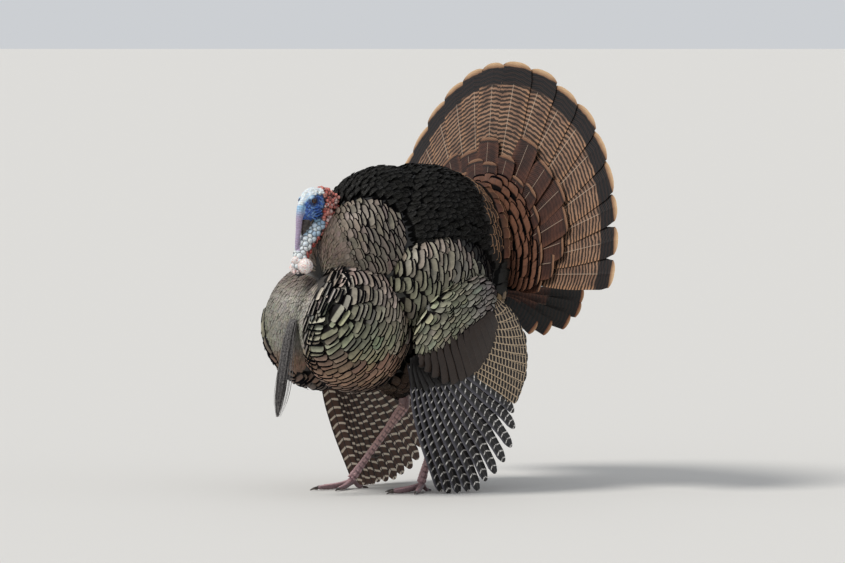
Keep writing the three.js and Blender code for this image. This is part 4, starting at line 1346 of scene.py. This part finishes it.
def quill(root, middle, tip, outward, half, rows=40, round_by=6.0, taper=0.2, shingle=1.6, narrow=0.4):
    """A feather along a bowed line from root to tip, its vane square to outward and half wide to each side."""
    root, middle, tip, outward = (np.array(v, float) for v in (root, middle, tip, outward))
    t = np.linspace(0, 1, rows)[:, None]
    a = ACROSS[None, :]
    line = (1 - t) ** 2 * root + 2 * t * (1 - t) * middle + t**2 * tip
    along = unit(np.gradient(line, axis=0))
    sideways = unit(np.cross(along, outward))
    normal = unit(np.cross(sideways, along))
    wide = half * (narrow + (1 - narrow) * ease(0, 0.4, t)) * (1 - taper * ease(0.5, 1.0, t))
    back_by = round_by * np.abs(a) ** 2.6 * ease(0.6, 1, t)
    high = shingle * a * ease(0, 0.15, t) - 0.8 * a**2 + 0.9 * SHAFT * (1 - 0.7 * t)
    place = line[:, None] + sideways[:, None] * (a * wide)[..., None]
    place = place - along[:, None] * back_by[..., None] + normal[:, None] * high[..., None]
    place[..., 2] = np.maximum(place[..., 2], 0.3)
    length = np.linalg.norm(np.diff(line, axis=0), axis=1).sum()
    return place, outward, a, (1 - t) * length + back_by, chance.uniform(0, 1)


def row_of(count, roots, middles, tips, half, outward=(1, -0.12, 0.06), uneven=0.0, **shape):
    """Feathers whose roots, bends and tips are spaced evenly along three curves, for the left side."""
    made = []
    for i in range(count):
        share = (i + 0.5) / count
        root, middle, tip = (spline(stops, share) for stops in (roots, middles, tips))
        tip = tip + unit(tip - middle) * chance.normal(0, uneven)
        made.append((root, middle, tip, outward, half(share) if callable(half) else half, shape))
    return made


def wing_rows(rows, side):
    flip = np.array([side, 1, 1])
    quills = []
    for root, middle, tip, outward, half, shape in rows:
        place, out, a, far, seed = quill(root, middle, tip, outward, half, **shape)
        quills.append((place * flip, out * flip, a * np.ones_like(far), far, seed))
    return quills


# The near wing stands closer to the leg; the far one is spread further back.
PRIMARY_TIPS = {
    "left": [
        (120, 4, 1), (131, 24, 0), (144, 54, 1), (153, 82, 10), (161, 113, 32), (165, 142, 70), (167, 160, 124),
        (167, 154, 176),
    ],
    "right": [
        (114, -20, 1), (129, 8, 0), (143, 44, 1), (152, 86, 3), (157, 128, 14), (159, 166, 40), (162, 190, 84),
        (165, 188, 140),
    ],
}
PRIMARY_COUNT = {"left": 11, "right": 13}
for name, side in SIDES.items():
    primaries = row_of(
        PRIMARY_COUNT[name],
        [(148, -92, 262), (158, -76, 272), (164, -58, 282), (166, -38, 290)],
        [(136, -62, 130), (152, -8, 152), (166, 52, 178), (170, 112, 226)],
        PRIMARY_TIPS[name],
        lambda share: 18.5 - 2.0 * share, uneven=2.0, round_by=20.0, taper=0.30, shingle=2.6, rows=44,
    )
    secondaries = row_of(
        13,
        [(160, -50, 286), (166, -10, 306), (166, 34, 336), (162, 66, 372)],
        [(168, 64, 236), (172, 104, 262), (170, 124, 306), (164, 118, 366)],
        [
            (166, 140, 180), (167, 170, 190), (166, 186, 214), (165, 196, 248), (164, 194, 284), (162, 186, 320),
            (158, 164, 356), (152, 130, 390),
        ],
        15.0, uneven=1.5, round_by=5.0, taper=0.05, shingle=2.0, rows=40,
    )
    quill_rows = (("primaries", primaries, primary_material), ("secondaries", secondaries, secondary_material))
    for part, row, material in quill_rows:
        long_vanes(f"{part}_{name}_vanes", wing_rows(row, side), material, [f"{part}_{name}"])
    greater = row_of(
        12,
        [(176, -96, 282), (186, -40, 312), (190, 22, 352), (184, 70, 376)],
        [(190, -84, 270), (204, -34, 274), (208, 28, 300), (200, 86, 348)],
        [
            (176, -84, 262), (182, -58, 242), (185, -10, 224), (185, 32, 236), (183, 64, 256), (179, 90, 288),
            (174, 104, 328),
        ],
        15.5, uneven=1.0, round_by=6.0, taper=-0.1, shingle=2.0, rows=24,
    )
    brown, dusky = linear(47, 36, 30), linear(34, 32, 32)
    long_vanes(f"greater_coverts_{name}", wing_rows(greater, side), covert_material, tone=brown)
    small = row_of(
        8,
        [(160, -98, 276), (170, -80, 286), (176, -50, 296)],
        [(160, -92, 240), (172, -64, 252), (180, -22, 262)],
        [(146, -84, 216), (160, -52, 214), (170, -12, 222), (176, 14, 232)],
        11.0, uneven=2.0, round_by=5.0, taper=0.1, shingle=1.6, rows=18,
    )
    long_vanes(f"primary_coverts_{name}", wing_rows(small, side), covert_material, tone=dusky)

# %% [markdown]
# ## Tail
# Eighteen tail feathers stand in a fan, the middle ones in front, with tiers of coverts over their lower half.


# %% The fan
def fan_place(angle, reach, forward):
    bend = 44 * (reach / 436) ** 2 * np.sin(1.5 * np.abs(angle))
    return (
        FAN_ROOT
        + (reach * np.cos(angle))[..., None] * FAN_UP
        + (reach * np.sin(angle))[..., None] * np.array([1.0, 0, 0])
        + (forward - bend)[..., None] * FAN_FRONT
    )


def fan_radius(angle):
    return 387 + (436 - 387) * math.cos(angle) ** 2


def fan_feather(angle, start, end, half, round_by, shingle, forward, rows, squarish=2.4):
    """half is the half width in mm at the tip; angle 0 is the middle of the fan."""
    t = np.linspace(0, 1, rows)[:, None]
    a = ACROSS[None, :] * (1 if angle >= 0 else -1)
    reach = start + (end - start) * t - round_by * np.abs(a) ** squarish * ease(0.75, 1, t)
    wide = half * (0.22 + 0.78 * ease(0, 0.72, t) ** 0.8) * (1 - 0.12 * ease(0.93, 1.0, t))
    turn = angle + np.arctan2(a * wide, reach)
    outer = a * (1 if angle >= 0 else -1)
    high = forward + shingle * outer * ease(0, 0.2, t) - 0.7 * a**2 + 0.9 * SHAFT * (1 - 0.6 * t)
    place = fan_place(turn, reach, high * np.ones_like(turn))
    far = end - reach
    return place, FAN_FRONT, a, far, chance.uniform(0, 1)


TAIL_COUNT = 18
spread_angle = math.radians(92)
rectrices = []
for i in range(TAIL_COUNT):
    angle = spread_angle * (2 * (i + 0.5) / TAIL_COUNT - 1)
    radius = fan_radius(angle) * (1 + chance.normal(0, 0.004)) - 2
    half = radius * spread_angle / TAIL_COUNT * 1.24 * (1 - 0.24 * (abs(angle) > 1.1))
    rectrices.append(fan_feather(angle, 46, radius, half, 9, 1.6, 0.8 - 0.5 * abs(angle), 72, 3.0))
for name, part in (("left", rectrices[12:]), ("middle", rectrices[6:12]), ("right", rectrices[:6])):
    long_vanes(f"tail_{name}_vanes", part, rectrix_material, [f"tail_{name}"])
tiers = []
COVERTS = [  # degrees from the middle of the fan, and how far out the feather reaches
    (-88, 0.50), (-80, 0.58), (-70, 0.64), (-58, 0.67), (-46, 0.69), (-33, 0.66), (-19, 0.61), (-3, 0.64),
    (21, 0.69), (36, 0.67), (49, 0.69), (62, 0.68), (72, 0.64), (81, 0.58), (89, 0.50),
]
for k, (degrees, share) in enumerate(COVERTS):
    angle = math.radians(degrees)
    tiers.append(fan_feather(angle, 50, fan_radius(angle) * share, 33, 3.5, 1.4, 9.0 + 1.5 * (k % 2), 26, 5.0))
for i in range(15):
    angle = spread_angle * (2 * (i + 0.5) / 15 - 1)
    radius = fan_radius(angle) * (0.52 + chance.normal(0, 0.022))
    tiers.append(fan_feather(angle, 50, radius, 29, 5, 1.4, 14, 26, 3.6))
long_vanes("tail_coverts_vanes", tiers, tail_covert_material, ["tail_coverts"])
ruff = []
for tier in range(9):
    share, forward, count = 0.47 - 0.026 * tier, 17 + 4.2 * tier, 20 - tier
    for i in range(count):
        angle = spread_angle * 1.04 * (2 * (i + chance.uniform(0.3, 0.7)) / count - 1)
        radius = fan_radius(angle) * share * (1 + chance.normal(0, 0.03))
        place, outward, a, far, seed = fan_feather(angle, 50, radius, 23, 3, 1.4, forward, 14, 4.0)
        along = np.linspace(0, 1, 14)[:, None] * np.ones_like(a)
        ruff.append((place, outward, a, 1 - (1 - along) * radius / 42, 0.88 + chance.normal(0, 0.02)))
long_vanes("tail_ruff_vanes", ruff, coat_material, tone=linear(116, 76, 57))
print("tail feathers", len(rectrices), "coverts", len(tiers) + len(ruff))

# %% Undertail coverts
under = []
UNDER = [  # the tips on one side, layer by layer: x, y, z and how far the vane is turned outward
    [
        (0, 400, 348, 0), (22, 436, 368, 25), (44, 438, 374, 58), (58, 418, 348, 52), (70, 378, 324, 50),
        (86, 316, 314, 58), (98, 268, 316, 72),
    ],
    [
        (14, 410, 362, 20), (36, 416, 372, 50), (54, 396, 350, 50), (64, 346, 334, 52), (80, 294, 326, 58),
        (90, 256, 330, 70),
    ],
    [(0, 350, 340, 0), (26, 360, 336, 0), (46, 322, 332, 15), (60, 280, 330, 35), (30, 270, 320, 0), (0, 300, 322, 0)],
]
for layer, tips in enumerate(UNDER):
    for x, y, z, turn in tips:
        for side in (1, -1) if x else (1,):
            tip = np.array([x * side, y, z], float)
            root = np.array([0.62 * x * side, 190, 392 - 6.0 * layer])
            out = np.array([side * math.sin(math.radians(turn + 12)), 0.0, -math.cos(math.radians(turn + 12))])
            middle = (root + tip) / 2 + out * (10 - 3 * layer)
            under.append(quill(root, middle, tip, out, 17 - 1.5 * layer, 26, 5.0, 0.0, 1.2 * side))
long_vanes("undertail_coverts_vanes", under, undertail_material, ["undertail_coverts"])

# %% [markdown]
# ## Beard
# A bunch of coarse bristles hangs from the cleft of the breast.

# %% Bristles
bristles = []
BRISTLE_COUNT = 260
BEARD = [
    [0, -266, 350, 11],
    [0, -277, 318, 14],
    [0, -288, 270, 15],
    [0, -297, 222, 14],
    [0, -303, 190, 10],
    [0, -306, 160, 3],
]
for k in range(BRISTLE_COUNT):
    turn, out = chance.uniform(0, 2 * math.pi), math.sqrt(chance.uniform(0, 1))
    reach = 1 - 0.28 * chance.uniform(0, 1) ** 1.5
    stray = chance.uniform(0, 1) < 0.06
    stops = []
    for i in range(7):
        at = spline(BEARD, i / 6 * reach)
        wide = at[3] * (0.9 + (0.25 if stray else 0.0) * i)
        shift = np.array([math.cos(turn), 0.62 * math.sin(turn), 0]) * out * wide
        stops.append([*(at[:3] + shift + (0, 0, chance.normal(0, 0.5))), 0.75 * (1 - 0.7 * i / 6)])
    bristles.append(tube_arrays(stops, 6, 14))
p, f = gather(bristles)
beard_uv = np.stack([(p[:, 0] + 40) / 80 * 0.9, (p[:, 2] - 150) / 240], 1)
beard_piece = make_piece("beard_bristles", p, f, uv=np.clip(beard_uv, 0, 1))
finish_piece(beard_piece, bristle_material, ["beard"])

# %% [markdown]
# ## Eyes, bill, claws and spurs
# The eyes and the bill are smooth pieces of their own; claws and spurs keep their solids and take the horn.

# %% Eyes and bill
n = Nodes("eye", 0.05, 0.6)
out = n.parts(n.attribute("vane"))[0]
pupil = n.ramp(out, 0.80, 0.86)
ringed = n.blend(n.ramp(out, 0.30, 0.42), tuple(linear(10, 8, 8)), tuple(linear(74, 44, 26)))
eye_material = n.colour(n.blend(pupil, ringed, (0.001, 0.001, 0.001)))
for name, side in SIDES.items():
    centre = np.array([side * EYE[0], EYE[1], EYE[2]])
    p, f = ball_arrays(centre, (EYE_RADIUS,) * 3)
    look = np.zeros((len(p), 3))
    look[:, 0] = unit(p - centre) @ unit(np.array([side, -0.25, 0.05]))
    piece = make_piece(f"eye_{name}_ball", p, f, vane=look)
    finish_piece(piece, eye_material, [f"eye_{name}"])
UPPER_BILL = [[0, -231, 554, 10.5], [0, -237, 542, 10], [0, -241, 529, 7.6], [0, -242, 517, 4.0], [0, -241, 510, 1.2]]
LOWER_BILL = [[0, -222, 549, 8.5], [0, -229, 537, 7.6], [0, -235, 525, 4.6], [0, -237, 519, 1.6]]
for part, stops in (("upper", UPPER_BILL), ("lower", LOWER_BILL)):
    p, f = tube_arrays(stops, 20, 30, 0.85)
    piece = make_piece(f"bill_{part}_horn", p, f)
    finish_piece(piece, horn_material, [f"bill_{part}"])
for name in list(bpy.data.objects.keys()):
    if name.startswith(("claw_", "spur_")):
        bpy.data.objects[name].data.materials.clear()
        bpy.data.objects[name].data.materials.append(horn_material)

# %% [markdown]
# ## Camera, light and floor
# The camera stands far off with a long lens, a little above the middle of the bird, on its left front side.

# %% Camera
scene = bpy.context.scene
scene.view_settings.view_transform = "Standard"
camera_data = bpy.data.cameras.new("camera")
camera = bpy.data.objects.new("camera", camera_data)
bpy.context.collection.objects.link(camera)
scene.camera = camera
azimuth, elevation = math.radians(52), math.radians(3)
right = np.array([math.cos(azimuth), math.sin(azimuth), 0])
level = np.array([-math.sin(azimuth), math.cos(azimuth), 0])
away = level * math.cos(elevation) + np.array([0, 0, -math.sin(elevation)])
up = np.cross(right, away)
DISTANCE = 14000
PICTURE_WIDTH = 1690  # what the picture takes in at the bird's place
AIM_RIGHT, AIM_UP = 45, 417
aim = right * AIM_RIGHT + up * AIM_UP
rows = [[*r, float(t)] for r, t in zip(np.stack([right, up, -away], 1), world(aim - away * DISTANCE))]
camera.matrix_world = Matrix([*rows, [0, 0, 0, 1]])
camera_data.sensor_width = 36
camera_data.lens = 36 * DISTANCE / PICTURE_WIDTH
camera_data.clip_end = 60

# %% Floor and light
bpy.ops.mesh.primitive_plane_add(size=600, location=(0, 0, 0))
floor = bpy.context.object
floor.name = "floor"
n = Nodes("floor", 0.9, 0.2)
floor.data.materials.append(n.colour((0.62, 0.61, 0.59, 1.0)))
sky = bpy.data.worlds.new("sky")
scene.world = sky
sky.use_nodes = True
sky.node_tree.nodes["Background"].inputs["Color"].default_value = (0.93, 0.96, 1.0, 1)
sky.node_tree.nodes["Background"].inputs["Strength"].default_value = 0.65


def sun(name, toward, power, softness, colour):
    data = bpy.data.lights.new(name, "SUN")
    data.energy, data.angle, data.color = power, math.radians(softness), colour
    item = bpy.data.objects.new(name, data)
    bpy.context.collection.objects.link(item)
    item.rotation_euler = Vector(toward).to_track_quat("-Z", "Y").to_euler()


sun("key", (0.10, 0.62, -0.78), 2.3, 18, (1.0, 0.97, 0.92))
